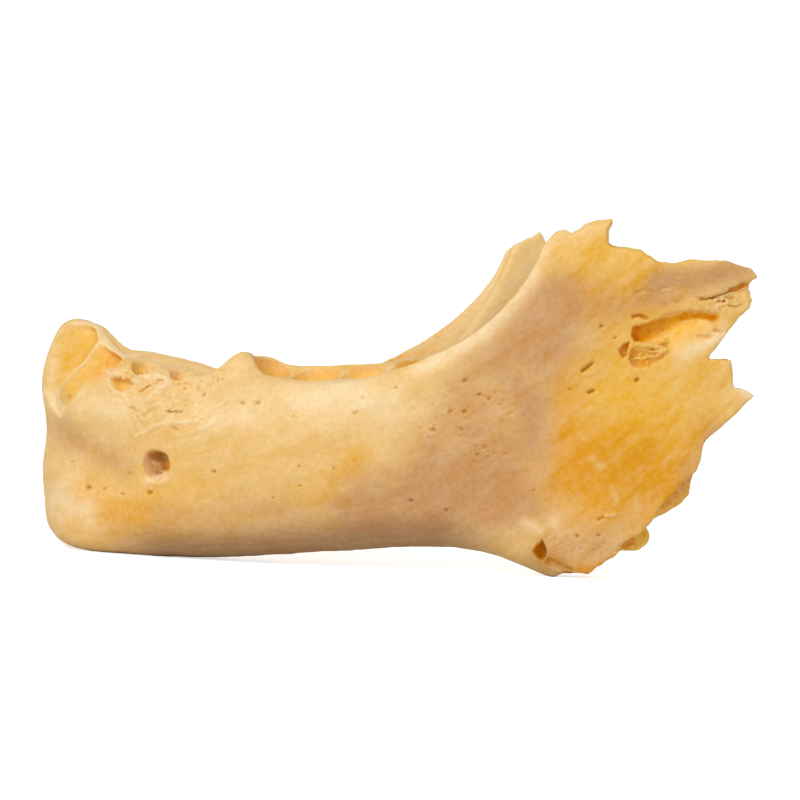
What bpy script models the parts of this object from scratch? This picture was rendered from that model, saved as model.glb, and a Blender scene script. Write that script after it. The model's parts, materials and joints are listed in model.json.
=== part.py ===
"""Juvenile human mandible: the lower jaw of a child of about six, dry, toothless and broken at the rear.

The jaw is one bone. Its horseshoe body is a loft of unlike cross sections along the arch, and
each section grows taller and thinner behind the last tooth, where the body turns into the ramus.
Sockets, foramina and the broken edges are cut from that loft, and the whole is then worn a little.

Frame: +X runs from the chin to the rear, +Y to the jaw's right side, +Z up. The origin lies on
the table, under the middle of the jaw. Tables are in millimetres and meshes in metres.
"""
import math
from dataclasses import dataclass

import bmesh
import bpy
import numpy as np
from mathutils import Matrix, Vector

MM = 0.001

# Driving dimensions, in millimetres; the arch and its sections below give the rest
JAW_LENGTH = 82.4           # chin to the furthest broken point
RAMUS_TOP = 45.0            # height of the loft before the ramus is broken off
RAMUS_FOOT = -2.0           # the loft's lower edge where the angle of the jaw is cut from it
SECTION_STEP = 1.3          # distance between cross sections along the arch
RING_STEPS = 4              # points between two named points of a section
WEAR = 0.4                  # size of the smallest detail that is left on the worn surface
SMOOTH_STEPS = 2            # how often the worn surface is evened out
TRIANGLES_KEPT = 0.05       # share of the worn surface's triangles that the finished solid keeps

BONE_COLOUR = (0.74, 0.50, 0.22, 1.0)
BONE_ROUGHNESS = 0.55

# Middle line of the bone in plan, from the chin backwards: (X, distance from the middle plane)
ARCH = [
    (-36.0, 0.0), (-35.3, 4.2), (-33.3, 7.8), (-30.3, 10.9), (-26.5, 13.6), (-21.5, 16.6),
    (-15.0, 19.9), (-7.0, 23.3), (1.0, 26.2), (9.0, 29.1), (16.0, 31.6), (23.0, 33.3),
    (31.0, 34.2), (42.0, 34.8),
]

# Shares of a section's height at which its outer and inner faces are given
FACE_LEVELS = (0.05, 0.25, 0.5, 0.78, 1.0)


@dataclass(frozen=True)
class Section:
    """A cross section of the half jaw, at a distance along the arch from the chin."""
    along: float
    base: float         # height of the lower border
    outer_rim: float    # height of the cheek side
    inner_rim: float    # height of the tongue side
    crest: float        # height between the two rims
    outer: tuple        # how far the cheek side stands out at each face level
    inner: tuple        # how far the tongue side stands in at each face level


SECTIONS = [
    Section(0.0, 0.2, 26.6, 26.2, 27.8, (3.4, 4.5, 4.7, 5.5, 3.8), (3.4, 5.2, 4.6, 3.3, 1.9)),
    Section(5.0, 0.0, 26.4, 26.0, 27.0, (3.8, 4.7, 4.5, 5.1, 3.4), (3.3, 5.0, 4.7, 3.6, 2.2)),
    Section(10.0, -0.1, 24.2, 24.7, 24.6, (4.0, 4.9, 4.4, 4.7, 3.1), (3.0, 4.6, 4.7, 4.1, 2.8)),
    Section(15.0, -0.1, 22.7, 23.9, 23.4, (3.8, 4.8, 4.8, 4.5, 3.0), (2.6, 4.2, 4.7, 4.5, 3.4)),
    Section(20.0, 0.0, 21.7, 22.9, 22.3, (3.6, 4.8, 5.0, 4.4, 2.6), (2.2, 3.8, 4.7, 4.9, 4.1)),
    Section(24.5, 0.1, 22.1, 22.2, 22.2, (3.5, 4.6, 5.0, 4.3, 2.4), (1.9, 3.4, 4.7, 5.2, 4.6)),
    Section(28.5, 0.3, 24.3, 23.9, 24.3, (3.4, 4.6, 5.0, 4.2, 2.3), (1.7, 3.1, 4.6, 5.4, 4.9)),
    Section(31.5, 0.6, 21.8, 23.2, 22.4, (3.3, 4.5, 4.9, 4.2, 2.5), (1.5, 2.8, 4.5, 5.5, 5.0)),
    Section(38.0, 1.2, 21.6, 23.1, 22.2, (3.1, 4.3, 4.7, 4.1, 2.7), (1.2, 2.5, 4.2, 5.6, 5.2)),
    Section(44.0, 1.9, 21.8, 23.5, 22.4, (3.0, 4.1, 4.5, 4.0, 2.8), (1.0, 2.3, 3.9, 5.5, 5.2)),
    Section(50.0, 2.5, 23.9, 24.4, 23.0, (2.8, 3.9, 4.3, 3.9, 2.7), (0.9, 2.1, 3.6, 5.0, 4.6)),
    Section(55.0, 2.6, 26.3, 24.7, 24.0, (2.7, 3.7, 4.0, 3.5, 2.2), (0.9, 1.9, 3.1, 3.9, 3.4)),
    Section(60.0, 2.0, 30.0, 27.2, 27.0, (2.7, 3.4, 3.5, 2.7, 1.5), (1.0, 1.6, 2.1, 2.5, 1.7)),
    Section(64.0, 0.6, 34.8, 32.4, 32.4, (2.7, 3.1, 2.9, 2.0, 1.1), (1.2, 1.1, 1.2, 1.6, 1.0)),
    Section(67.0, -0.4, 41.2, 39.6, 40.4, (2.7, 2.7, 2.3, 1.7, 1.2), (1.5, 0.6, 0.6, 1.2, 0.9)),
    Section(73.0, RAMUS_FOOT, RAMUS_TOP, RAMUS_TOP, RAMUS_TOP,
            (2.9, 2.5, 2.0, 1.7, 1.4), (1.5, 0.4, 0.6, 1.4, 1.1)),
    Section(80.0, RAMUS_FOOT, RAMUS_TOP, RAMUS_TOP, RAMUS_TOP,
            (2.8, 2.4, 2.1, 2.2, 1.9), (1.3, 0.2, 0.8, 2.1, 1.7)),
    Section(92.0, RAMUS_FOOT, RAMUS_TOP, RAMUS_TOP, RAMUS_TOP,
            (2.8, 2.4, 2.4, 2.6, 2.2), (1.0, 0.2, 1.0, 2.6, 2.2)),
]

# How much lower the right side's rims are worn: (distance along the arch, height lost)
RIGHT_RIM_WEAR = [(0.0, 0.0), (6.0, 0.1), (12.0, 0.7), (16.0, 0.6), (20.0, 0.8), (24.5, 1.3), (28.5, 1.6),
                  (31.5, 1.6), (38.0, 1.6), (44.0, 1.5), (50.0, 1.1), (55.0, 0.6), (60.0, 0.4), (66.0, 0.0)]


@dataclass(frozen=True)
class Relief:
    """A soft swelling or hollow that runs between two places on one face of the bone."""
    face: str           # outer or inner
    start: tuple        # (distance along the arch, height)
    end: tuple
    radius: float
    rise: float         # above zero stands out from the bone, below zero is a hollow


RELIEFS = [
    Relief("outer", (0.0, 3.0), (0.0, 9.0), 3.2, 0.5),        # mental protuberance
    Relief("outer", (6.5, 2.2), (9.0, 2.2), 2.6, 0.5),        # mental tubercle
    Relief("outer", (4.5, 14.5), (13.0, 11.5), 3.4, -0.9),    # mental fossa
    Relief("outer", (7.5, 19.0), (9.0, 15.5), 2.4, 0.8),      # canine eminence
    Relief("outer", (22.0, 15.0), (36.0, 13.5), 5.0, 0.5),    # over the growing teeth
    Relief("outer", (40.0, 16.0), (57.0, 25.0), 3.0, 0.5),    # oblique line
    Relief("outer", (50.0, 6.0), (59.0, 8.0), 4.0, -0.5),     # hollow before the masseter
    Relief("outer", (66.0, 3.5), (73.0, 7.0), 2.6, 0.5),      # masseter's attachment
    Relief("outer", (74.0, 22.0), (84.0, 14.0), 5.0, -0.5),   # ramus hollow
    Relief("inner", (0.0, 7.0), (1.6, 9.0), 1.3, 0.9),        # genial spines
    Relief("inner", (5.0, 2.0), (10.0, 2.4), 2.4, -0.5),      # digastric fossa
    Relief("inner", (7.0, 13.5), (18.0, 15.5), 4.0, -0.7),    # sublingual fossa
    Relief("inner", (24.0, 11.0), (54.0, 19.5), 1.8, 0.7),    # mylohyoid line
    Relief("inner", (28.0, 6.5), (48.0, 8.5), 3.6, -0.8),     # submandibular fossa
    Relief("inner", (58.0, 25.0), (68.0, 37.0), 1.6, 0.8),    # temporal crest
    Relief("inner", (73.5, 19.0), (74.5, 21.5), 1.3, 1.0),    # lingula
    Relief("inner", (76.0, 18.0), (66.0, 10.5), 0.9, -0.5),   # mylohyoid groove
    Relief("inner", (66.0, 4.0), (74.0, 9.0), 2.4, 0.4),      # medial pterygoid's attachment
]

# Broken rear edge of the left ramus, from its front border down to its lower border: (X, Z)
LEFT_BREAK = [
    (16.4, 37.4), (18.2, 39.1), (19.5, 39.9), (20.8, 39.2), (22.4, 40.3), (25.2, 41.0), (24.7, 38.7),
    (25.3, 37.9), (28.4, 37.5), (30.5, 36.1), (34.5, 36.6), (40.4, 35.7), (41.4, 34.4), (40.3, 33.1),
    (40.8, 31.4), (38.6, 29.0), (36.5, 26.0), (36.3, 25.3), (38.7, 25.2), (39.1, 22.0), (41.5, 21.1),
    (38.2, 17.7), (36.0, 15.2), (34.6, 11.5), (34.4, 9.3), (32.7, 7.6), (30.5, 6.5), (30.3, 4.4),
    (29.0, 2.9), (26.7, 3.1), (25.0, 1.7), (23.2, 0.4), (21.3, 0.5), (19.4, -0.2), (17.8, -1.4),
]
# The far ramus is broken off further forward
RIGHT_BREAK = [
    (15.0, 34.6), (17.2, 36.9), (19.4, 38.5), (21.5, 39.8), (22.4, 37.6), (24.1, 34.9), (25.2, 35.3),
    (27.6, 32.7), (31.0, 31.6), (33.4, 29.2), (32.0, 26.4), (34.4, 23.6), (34.9, 20.6), (32.4, 18.4),
    (33.0, 14.6), (31.4, 10.6), (29.2, 9.2), (28.8, 5.8), (26.4, 4.6), (25.6, 2.4), (22.4, 1.2),
    (20.4, 0.3), (18.4, -1.0),
]
BREAK_BOX = (JAW_LENGTH, -8.0, 60.0)    # far X, low Z and high Z of what is broken off
BREAK_SIDES = (18.0, 50.0)              # distances from the middle plane that a break spans

# Outer plate lost along the left ramus's lower rear edge, and the hole into its spongy middle
LEFT_PLATE_LOSS = [(38.0, 15.5), (34.9, 12.1), (33.1, 10.4), (31.7, 8.8), (30.7, 7.2), (30.1, 5.9),
                   (28.8, 4.5), (27.2, 3.9), (26.4, 2.4), (30.0, 0.0), (38.0, 5.0)]
PLATE_LOSS_FACE = 34.9              # distance from the middle plane of the plate left behind
LEFT_POCKET = [(27.6, 29.9), (29.3, 29.7), (32.2, 29.9), (34.2, 30.8), (36.2, 30.5), (37.3, 29.9),
               (37.0, 29.0), (33.7, 27.5), (31.5, 25.3), (28.7, 24.1), (27.0, 24.7), (26.0, 25.8),
               (27.1, 27.2)]
POCKET_FLOOR = (33.4, 35.9)         # distance of its floor at the front and at the rear
LEFT_HOLE = [(17.7, 4.5), (18.3, 3.5), (18.4, 2.9), (18.0, 2.0), (17.2, 2.7), (16.7, 3.4), (17.2, 4.1)]
HOLE_FLOOR = 31.4


@dataclass(frozen=True)
class Socket:
    """A tooth's hollow: half an egg, from its mouth at the rim down into the bone."""
    along: float        # place along the arch
    offset: float       # towards the cheek from the arch's middle line
    top: float          # height of its mouth
    length: float       # half width of the mouth along the arch
    width: float        # half width of the mouth across the arch
    depth: float
    lean: float = 0.0   # how far the tip leans towards the cheek
    slant: float = 0.0  # how far the tip leans towards the chin


SOCKETS = [
    Socket(3.4, 0.1, 28.0, 2.1, 2.1, 11.5, 2.6, 0.6),     # central incisor
    Socket(9.6, -0.2, 26.4, 2.1, 2.2, 9.6, 2.8, 1.8),     # lateral incisor
    Socket(14.2, 0.9, 23.8, 1.7, 1.9, 5.2, 0.6, 0.6),     # canine
    Socket(17.6, -1.0, 24.2, 1.5, 1.7, 4.6),              # first molar, front root
    Socket(22.4, -0.8, 23.0, 1.6, 1.9, 3.6),              # first molar, rear root
    Socket(31.2, -1.2, 23.4, 2.0, 2.9, 5.6),              # second molar, front root
    Socket(36.4, -1.3, 23.4, 2.4, 3.0, 5.0),              # second molar, rear root
    Socket(42.6, -1.4, 23.2, 2.9, 2.8, 2.4),              # first large molar, a shallow dish
    Socket(49.8, -1.2, 24.4, 2.6, 1.0, 4.2),              # gap over the tooth that has not come up
]

# Labial plate worn away before the front sockets: (distance along the arch, height of what is left)
LABIAL_WEAR = [(1.6, 18.0), (3.5, 16.8), (6.0, 16.9), (8.0, 18.2), (9.6, 19.6), (12.0, 20.2),
               (14.2, 19.4), (17.0, 19.5), (21.0, 21.2), (24.0, 22.2)]
LABIAL_WEAR_LEAN = 0.42             # how far inwards the worn face goes for each step up
LABIAL_WEAR_START = 3.7             # how far out the worn face starts
LABIAL_WEAR_RISE = 14.0             # height of the solid that is taken away
LABIAL_WEAR_REACH = 8.0             # how far that solid reaches past the bone

# Mental foramen and mandibular foramen: (X, distance from the middle plane, Z), radius, direction
MENTAL_FORAMEN = ((-27.1, 19.4, 11.2), 1.45, (0.35, -0.9, 0.12))
MANDIBULAR_FORAMEN = ((27.0, 31.0, 20.6), 1.2, (-0.75, 0.55, -0.45))
FORAMEN_DEPTH = 3.4


def smooth_value(keys, values, at):
    """Read a table at a place, on the smooth curve through its rows."""
    keys = np.asarray(keys, float)
    values = np.asarray(values, float)
    slopes = np.gradient(values, keys, axis=0)
    at = float(np.clip(at, keys[0], keys[-1]))
    low = int(np.clip(np.searchsorted(keys, at) - 1, 0, len(keys) - 2))
    span = keys[low + 1] - keys[low]
    t = (at - keys[low]) / span
    return ((2 * t ** 3 - 3 * t ** 2 + 1) * values[low]
            + (t ** 3 - 2 * t ** 2 + t) * span * slopes[low]
            + (3 * t ** 2 - 2 * t ** 3) * values[low + 1]
            + (t ** 3 - t ** 2) * span * slopes[low + 1])


def mirrored(keys, values):
    """Continue a table that starts at the chin onto the other half of the jaw."""
    return [-k for k in reversed(keys[1:])] + list(keys), list(reversed(values[1:])) + list(values)


class Arch:
    """The bone's middle line in plan, measured along from the chin; the left half is below zero."""

    def __init__(self):
        points = np.asarray(ARCH, float)
        steps = np.hypot(*np.diff(points, axis=0).T)
        half = [0.0] + list(np.cumsum(steps))
        left = [(x, -y) for x, y in ARCH[:0:-1]]
        self.keys = [-k for k in half[:0:-1]] + half
        self.points = left + ARCH
        self.end = half[-1]

    def point(self, along):
        """Return the middle line's point in plan."""
        return Vector(smooth_value(self.keys, self.points, along))

    def outward(self, along):
        """Return the direction from the middle line to the cheek."""
        step = 0.2
        run = self.point(min(along + step, self.end)) - self.point(max(along - step, -self.end))
        return Vector((-run.y, run.x)).normalized()


ARCH_LINE = Arch()
ROWS = [[s.base, s.outer_rim, s.inner_rim, s.crest, *s.outer, *s.inner] for s in SECTIONS]
SECTION_KEYS, SECTION_ROWS = mirrored([s.along for s in SECTIONS], ROWS)


def named_points(along):
    """Return a section's points as (offset to the cheek, height), once round from the base."""
    row = smooth_value(SECTION_KEYS, SECTION_ROWS, along)
    worn = smooth_value(*zip(*RIGHT_RIM_WEAR), along) if along > 0 else 0.0
    base = row[0]
    outer_rim, inner_rim, crest = row[1:4] - worn
    outer, inner = row[4:9], row[9:14]
    points = [((outer[0] - inner[0]) / 2, base)]
    points += [(out, base + level * (outer_rim - base)) for out, level in zip(outer, FACE_LEVELS)]
    points.append(((outer[-1] - inner[-1]) / 2, crest))
    points += [(-inn, base + level * (inner_rim - base))
               for inn, level in reversed(list(zip(inner, FACE_LEVELS)))]
    return points


def closed_curve(points):
    """Return a closed smooth curve through the points, with RING_STEPS points to each."""
    count = len(points)
    points = np.asarray(points, float)
    curve = []
    for index in range(count):
        before, start, end, after = (points[(index + k) % count] for k in (-1, 0, 1, 2))
        for step in range(RING_STEPS):
            t = step / RING_STEPS
            curve.append(0.5 * (2 * start + (end - before) * t
                                + (2 * before - 5 * start + 4 * end - after) * t ** 2
                                + (3 * start - before - 3 * end + after) * t ** 3))
    return curve


def relief_at(face, along, height):
    """Return how far the swellings and hollows of a face move the bone there."""
    total = 0.0
    place = Vector((along, height))
    for relief in RELIEFS:
        if relief.face != face:
            continue
        start = Vector(relief.start)
        run = Vector(relief.end) - start
        share = 0.0
        if run.length:
            share = min(max((place - start).dot(run) / run.length_squared, 0.0), 1.0)
        distance = (place - start - run * share).length / relief.radius
        total += relief.rise * math.exp(-distance ** 2)
    return total


def ring(along):
    """Return a cross section's points in the jaw's frame, in millimetres."""
    middle = ARCH_LINE.point(along)
    out = ARCH_LINE.outward(along)
    points = []
    for offset, height in closed_curve(named_points(along)):
        face = "outer" if offset > 0 else "inner"
        offset += math.copysign(relief_at(face, abs(along), height), offset)
        points.append(Vector((middle.x + out.x * offset, middle.y + out.y * offset, height)))
    return points


def mesh_object(name, bm, collection):
    """Turn a bmesh in millimetres into an object in metres."""
    bmesh.ops.scale(bm, vec=(MM, MM, MM), verts=bm.verts)
    bmesh.ops.recalc_face_normals(bm, faces=bm.faces)
    mesh = bpy.data.meshes.new(name)
    bm.to_mesh(mesh)
    bm.free()
    obj = bpy.data.objects.new(name, mesh)
    collection.objects.link(obj)
    return obj


def cutter(name, bm, collection):
    """Turn a bmesh into a cutter, which is drawn as wire and never rendered."""
    obj = mesh_object(name, bm, collection)
    obj.display_type = "WIRE"
    obj.hide_render = True
    return obj


def loft_jaw():
    """Skin the cross sections from one rear end round the chin to the other."""
    bm = bmesh.new()
    count = 2 * int(ARCH_LINE.end / SECTION_STEP) + 1
    rings = []
    for along in np.linspace(-ARCH_LINE.end, ARCH_LINE.end, count):
        rings.append([bm.verts.new(point) for point in ring(float(along))])
    for first, second in zip(rings, rings[1:]):
        for index in range(len(first)):
            after = (index + 1) % len(first)
            bm.faces.new((first[index], first[after], second[after], second[index]))
    bm.faces.new(rings[0])
    bm.faces.new(rings[-1])
    return bm


def side_prism(outline, near, far, side):
    """Return a solid with an upright (X, Z) outline, between two distances from the middle plane.

    near and far are numbers, or functions of X and Z.
    """
    bm = bmesh.new()
    loops = []
    for distance in (near, far):
        place = distance if callable(distance) else (lambda x, z, flat=distance: flat)
        loops.append([bm.verts.new((x, side * place(x, z), z)) for x, z in outline])
    bm.faces.new(loops[0])
    bm.faces.new(loops[1])
    for index in range(len(outline)):
        after = (index + 1) % len(outline)
        bm.faces.new((loops[0][index], loops[0][after], loops[1][after], loops[1][index]))
    return bm


def broken_off(edge, side):
    """Return the solid that takes away everything behind a ramus's broken edge."""
    far_x, low_z, high_z = BREAK_BOX
    outline = edge + [(edge[-1][0], low_z), (far_x, low_z), (far_x, high_z), (edge[0][0] - 4.0, high_z)]
    return side_prism(outline, BREAK_SIDES[0], BREAK_SIDES[1], side)


def socket_hollow(socket, side):
    """Return a tooth's hollow with a rounded tip, standing in the arch."""
    bm = bmesh.new()
    bmesh.ops.create_uvsphere(bm, u_segments=20, v_segments=12, radius=1.0)
    middle = ARCH_LINE.point(side * socket.along)
    out = ARCH_LINE.outward(side * socket.along)
    to_chin = Vector((out.y, -out.x)) * side
    for vert in bm.verts:
        down = max(-vert.co.z, 0.0)
        across = vert.co.y * socket.width + socket.offset + socket.lean * down
        run = vert.co.x * socket.length + socket.slant * down
        place = middle + out * across + to_chin * run
        vert.co = Vector((place.x, place.y, socket.top + vert.co.z * socket.depth))
    return bm


def labial_wear(side):
    """Return the solid that takes away the worn front plate of the alveolar process."""
    bm = bmesh.new()
    loops = []
    for along, height in LABIAL_WEAR:
        middle = ARCH_LINE.point(side * along)
        out = ARCH_LINE.outward(side * along)
        top = height + LABIAL_WEAR_RISE
        far = LABIAL_WEAR_START + LABIAL_WEAR_REACH
        profile = [(LABIAL_WEAR_START, height), (LABIAL_WEAR_START - LABIAL_WEAR_LEAN * LABIAL_WEAR_RISE, top),
                   (far, top), (far, height)]
        loops.append([bm.verts.new((*(middle + out * offset), z)) for offset, z in profile])
    for first, second in zip(loops, loops[1:]):
        for index in range(4):
            after = (index + 1) % 4
            bm.faces.new((first[index], first[after], second[after], second[index]))
    bm.faces.new(loops[0])
    bm.faces.new(loops[-1])
    return bm


def canal(place, radius, direction, side):
    """Return a round tapering canal that enters the bone at a foramen."""
    x, y, z = place
    run = Vector((direction[0], side * direction[1], direction[2])).normalized()
    bm = bmesh.new()
    bmesh.ops.create_cone(bm, cap_ends=True, segments=20, radius1=radius * 1.25, radius2=radius * 0.55,
                          depth=2 * FORAMEN_DEPTH)
    turn = run.to_track_quat("Z", "Y").to_matrix().to_4x4()
    bmesh.ops.transform(bm, matrix=Matrix.Translation((x, side * y, z)) @ turn, verts=bm.verts)
    return bm


def make_cutters(collection):
    """Make every solid that is taken away from the loft; the left side is at -Y."""
    cutter("left_break", broken_off(LEFT_BREAK, -1), collection)
    cutter("right_break", broken_off(RIGHT_BREAK, 1), collection)
    cutter("left_plate_loss", side_prism(LEFT_PLATE_LOSS, PLATE_LOSS_FACE, BREAK_SIDES[1], -1), collection)
    front, rear = POCKET_FLOOR
    first, last = LEFT_POCKET[0][0], max(x for x, z in LEFT_POCKET)

    def floor(x, z):
        return front + (rear - front) * max(0.0, (x - first) / (last - first))

    cutter("left_pocket", side_prism(LEFT_POCKET, floor, BREAK_SIDES[1], -1), collection)
    cutter("left_hole", side_prism(LEFT_HOLE, HOLE_FLOOR, BREAK_SIDES[1], -1), collection)
    cutter("left_labial_wear", labial_wear(-1), collection)
    for side, side_name in ((-1, "left"), (1, "right")):
        for number, socket in enumerate(SOCKETS):
            cutter(f"{side_name}_socket_{number}", socket_hollow(socket, side), collection)
        cutter(f"{side_name}_mental_foramen", canal(*MENTAL_FORAMEN, side), collection)
        cutter(f"{side_name}_mandibular_foramen", canal(*MANDIBULAR_FORAMEN, side), collection)


def make_table(collection):
    """Make the block that levels the places where the jaw rests; its upper face is the table."""
    bm = bmesh.new()
    bmesh.ops.create_cube(bm, size=2 * JAW_LENGTH)
    bmesh.ops.translate(bm, vec=(0.0, 0.0, -JAW_LENGTH), verts=bm.verts)
    return cutter("table_level", bm, collection)


def bone_material():
    """Dry bone, ivory yellow."""
    material = bpy.data.materials.new("dry_bone")
    material.use_nodes = True
    shader = material.node_tree.nodes["Principled BSDF"]
    shader.inputs["Base Color"].default_value = BONE_COLOUR
    shader.inputs["Roughness"].default_value = BONE_ROUGHNESS
    shader.inputs["Metallic"].default_value = 0.0
    return material


def new_collection(name):
    """Make a collection in the scene."""
    collection = bpy.data.collections.new(name)
    bpy.context.scene.collection.children.link(collection)
    return collection


def main():
    """Build the jaw."""
    for old in list(bpy.data.objects):
        bpy.data.objects.remove(old, do_unlink=True)
    parts = new_collection("juvenile_mandible")
    cutters = new_collection("cutters")
    table = new_collection("table")

    jaw = mesh_object("mandible", loft_jaw(), parts)
    jaw.data.materials.append(bone_material())
    make_cutters(cutters)

    cut = jaw.modifiers.new("sockets_and_breaks", "BOOLEAN")
    cut.operation = "DIFFERENCE"
    cut.operand_type = "COLLECTION"
    cut.collection = cutters
    cut.solver = "EXACT"
    cut.use_self = True

    wear = jaw.modifiers.new("wear", "REMESH")
    wear.mode = "VOXEL"
    wear.voxel_size = WEAR * MM
    wear.adaptivity = 0.0

    soften = jaw.modifiers.new("soften", "SMOOTH")
    soften.factor = 0.5
    soften.iterations = SMOOTH_STEPS

    thin_out = jaw.modifiers.new("thin_out", "DECIMATE")
    thin_out.ratio = TRIANGLES_KEPT

    rest = jaw.modifiers.new("rest", "BOOLEAN")
    rest.operation = "DIFFERENCE"
    rest.object = make_table(table)
    rest.solver = "EXACT"


main()
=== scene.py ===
"""Looks of a dry juvenile human mandible, seen from its left side.

The jaw is one bone. Its whole form is a loft of cross sections along the dental arch; teeth, thin
plates and both rami's rear parts are then taken away from it, the surface is worn, and the grain,
pits, fibres and spongy inside are raised on it. Tables are in millimetres and the finished mesh is
in metres. Places on the cheek side are given as the side view shows them, as (X, height); places in
the arch's own table are (distance along the arch from the chin, height).
"""

import itertools
import json
import logging
import math
from dataclasses import dataclass
from enum import Enum
from typing import Any, Iterable, Optional, Sequence

import bmesh
import bpy
import numpy as np
from mathutils import Matrix, Vector
from mathutils.bvhtree import BVHTree

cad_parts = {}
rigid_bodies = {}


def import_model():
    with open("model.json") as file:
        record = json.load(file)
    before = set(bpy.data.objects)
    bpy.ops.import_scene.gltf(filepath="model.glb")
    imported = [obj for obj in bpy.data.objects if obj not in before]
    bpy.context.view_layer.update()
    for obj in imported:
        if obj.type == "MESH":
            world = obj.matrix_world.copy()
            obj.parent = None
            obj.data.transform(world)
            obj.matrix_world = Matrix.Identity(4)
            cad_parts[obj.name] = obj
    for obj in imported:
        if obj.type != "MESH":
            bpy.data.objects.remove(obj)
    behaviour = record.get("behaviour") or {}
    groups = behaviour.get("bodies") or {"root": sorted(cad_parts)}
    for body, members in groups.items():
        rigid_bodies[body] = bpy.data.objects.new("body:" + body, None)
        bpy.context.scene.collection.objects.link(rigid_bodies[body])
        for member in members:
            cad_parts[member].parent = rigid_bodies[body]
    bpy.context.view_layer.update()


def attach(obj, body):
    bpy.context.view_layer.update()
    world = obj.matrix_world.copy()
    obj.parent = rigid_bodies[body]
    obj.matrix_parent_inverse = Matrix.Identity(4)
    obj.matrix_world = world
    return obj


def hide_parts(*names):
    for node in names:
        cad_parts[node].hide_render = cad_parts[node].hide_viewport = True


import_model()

LOG = logging.getLogger("mandible")
MM = 0.001
PICTURE = 800                       # pixels, the photograph's width and height
GRAIN_RUN = "grain_run"             # the mesh attribute that holds places along and across the fibres

Pair = tuple[float, float]
Triple = tuple[float, float, float]
Line = tuple[Pair, ...]             # the corners of a line, or places with a value at each
Rows = tuple[tuple[float, ...], ...]


class Side(Enum):
    """Half of the jaw; the value is the sign of its Y and of its distance along the arch."""

    LEFT = -1
    RIGHT = 1


class Level(Enum):
    """Height that a cross section gives; the value is its column in the table of sections."""

    BASE = 1
    CREST = 4


class Tone(Enum):
    """Colour of dry bone, by what makes it, and painted glow and shade; the value is the name of its
    attribute on the mesh.
    """

    CREAM = "cream"     # dense, clean plate; also painted light on the far ramus and painted highlights on some rims and bulges
    HONEY = "honey"     # thin plate that light passes through
    AMBER = "amber"     # fat left in the bone; also part of the painted glow on socket walls and of the painted shade in the gap
    TAN = "tan"         # weathered, slightly rosy surface; also painted shade in the mental fossa, the mental foramen and the gap
    UMBER = "umber"     # browned by what the bone lay on; also painted shade under the lower border, in the mental foramen and in the gap
    GLOW = "glow"       # painted glow: lightens hollows and shaded walls as if light came through the bone
    DEEP = "deep"       # fat-soaked depths of the spongy middle; also part of the gap's painted shade


@dataclass(frozen=True)
class Mark:
    """A mark along a line on the bone, such as a ridge, a pit or a stain."""

    line: Line
    radius: float
    rise: float         # millimetres out of the surface, or share of a tone
    edge: float = 2.0   # 2 fades out softly, 6 has a flat middle and steep sides

    REACH = 2.6     # radii from its line up to which it is read
    FAR = 9.0       # radii past which places count as equally far

    def strength(self, places: np.ndarray) -> np.ndarray:
        """Work out how strongly the mark shows at each place.

        Args:
            places: Places in the table that the mark's line is given in, one row of two for each.

        Returns:
            The mark's rise at each place, fading out around its line.
        """
        away = line_distance(self.line, places) / self.radius
        return self.rise * np.exp(-np.minimum(away, self.FAR) ** self.edge)


def line_distance(line: Sequence[Pair], places: np.ndarray) -> np.ndarray:
    """Measure how far places are from a line.

    Args:
        line: The line's corners, or a single place.
        places: The places, one row of two for each.

    Returns:
        Distances.
    """
    corners = np.array(line, float)
    nearest = np.full(len(places), np.inf)
    for start, end in zip(corners, corners[1:] if len(corners) > 1 else corners):
        run = end - start
        share = np.clip((places - start) @ run / max(float(run @ run), 1e-9), 0.0, 1.0)
        gap = places - start - share[:, None] * run
        nearest = np.minimum(nearest, (gap ** 2).sum(axis=1))
    return np.sqrt(nearest)


def marks_read(marks: Iterable[Mark], places: np.ndarray, joined: np.ufunc = np.add) -> np.ndarray:
    """Read marks at each place.

    Args:
        marks: The marks.
        places: Places, one row of two for each.
        joined: How marks that overlap are joined: added up, or the lowest or highest of them.

    Returns:
        The marks' strength at each place.
    """
    total = np.zeros(len(places))
    for mark in marks:
        low, high = np.min(mark.line, axis=0), np.max(mark.line, axis=0)
        reach = mark.REACH * mark.radius
        near = np.flatnonzero(((places > low - reach) & (places < high + reach)).all(axis=1))
        total[near] = joined(total[near], mark.strength(places[near]))
    return total


@dataclass(frozen=True)
class Opening:
    """A hollow with a sharp rim and a flat or slanting floor."""

    rim: Line
    deep_end: Triple    # a place on the floor, with the depth there
    shallow_end: Triple
    wall: float = 0.25  # width of its sloping sides

    def strength(self, places: np.ndarray) -> np.ndarray:
        """Work out how deep the opening is at each place.

        Args:
            places: Places, one row of two for each.

        Returns:
            Depths, below zero inside the rim.
        """
        rim = np.array(self.rim)
        inside = np.zeros(len(places), bool)
        for start, end in zip(rim, np.roll(rim, -1, axis=0)):
            spans = (start[1] > places[:, 1]) != (end[1] > places[:, 1])
            rise = end[1] - start[1] or 1e-9
            crossing = start[0] + (places[:, 1] - start[1]) * (end[0] - start[0]) / rise
            inside ^= spans & (places[:, 0] < crossing)
        closed = tuple(self.rim) + (self.rim[0],)
        within = smooth_step(0.0, self.wall, np.where(inside, line_distance(closed, places), 0.0))
        start, end = np.array(self.deep_end), np.array(self.shallow_end)
        run = end[:2] - start[:2]
        share = np.clip((places - start[:2]) @ run / float(run @ run), 0.0, 1.0)
        return -within * (start[2] + (end[2] - start[2]) * share)


def smooth_step(low: float, high: float, values: np.ndarray) -> np.ndarray:
    """Ease from 0 at low to 1 at high."""
    share = np.clip((values - low) / (high - low), 0.0, 1.0)
    return share * share * (3.0 - 2.0 * share)


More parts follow.
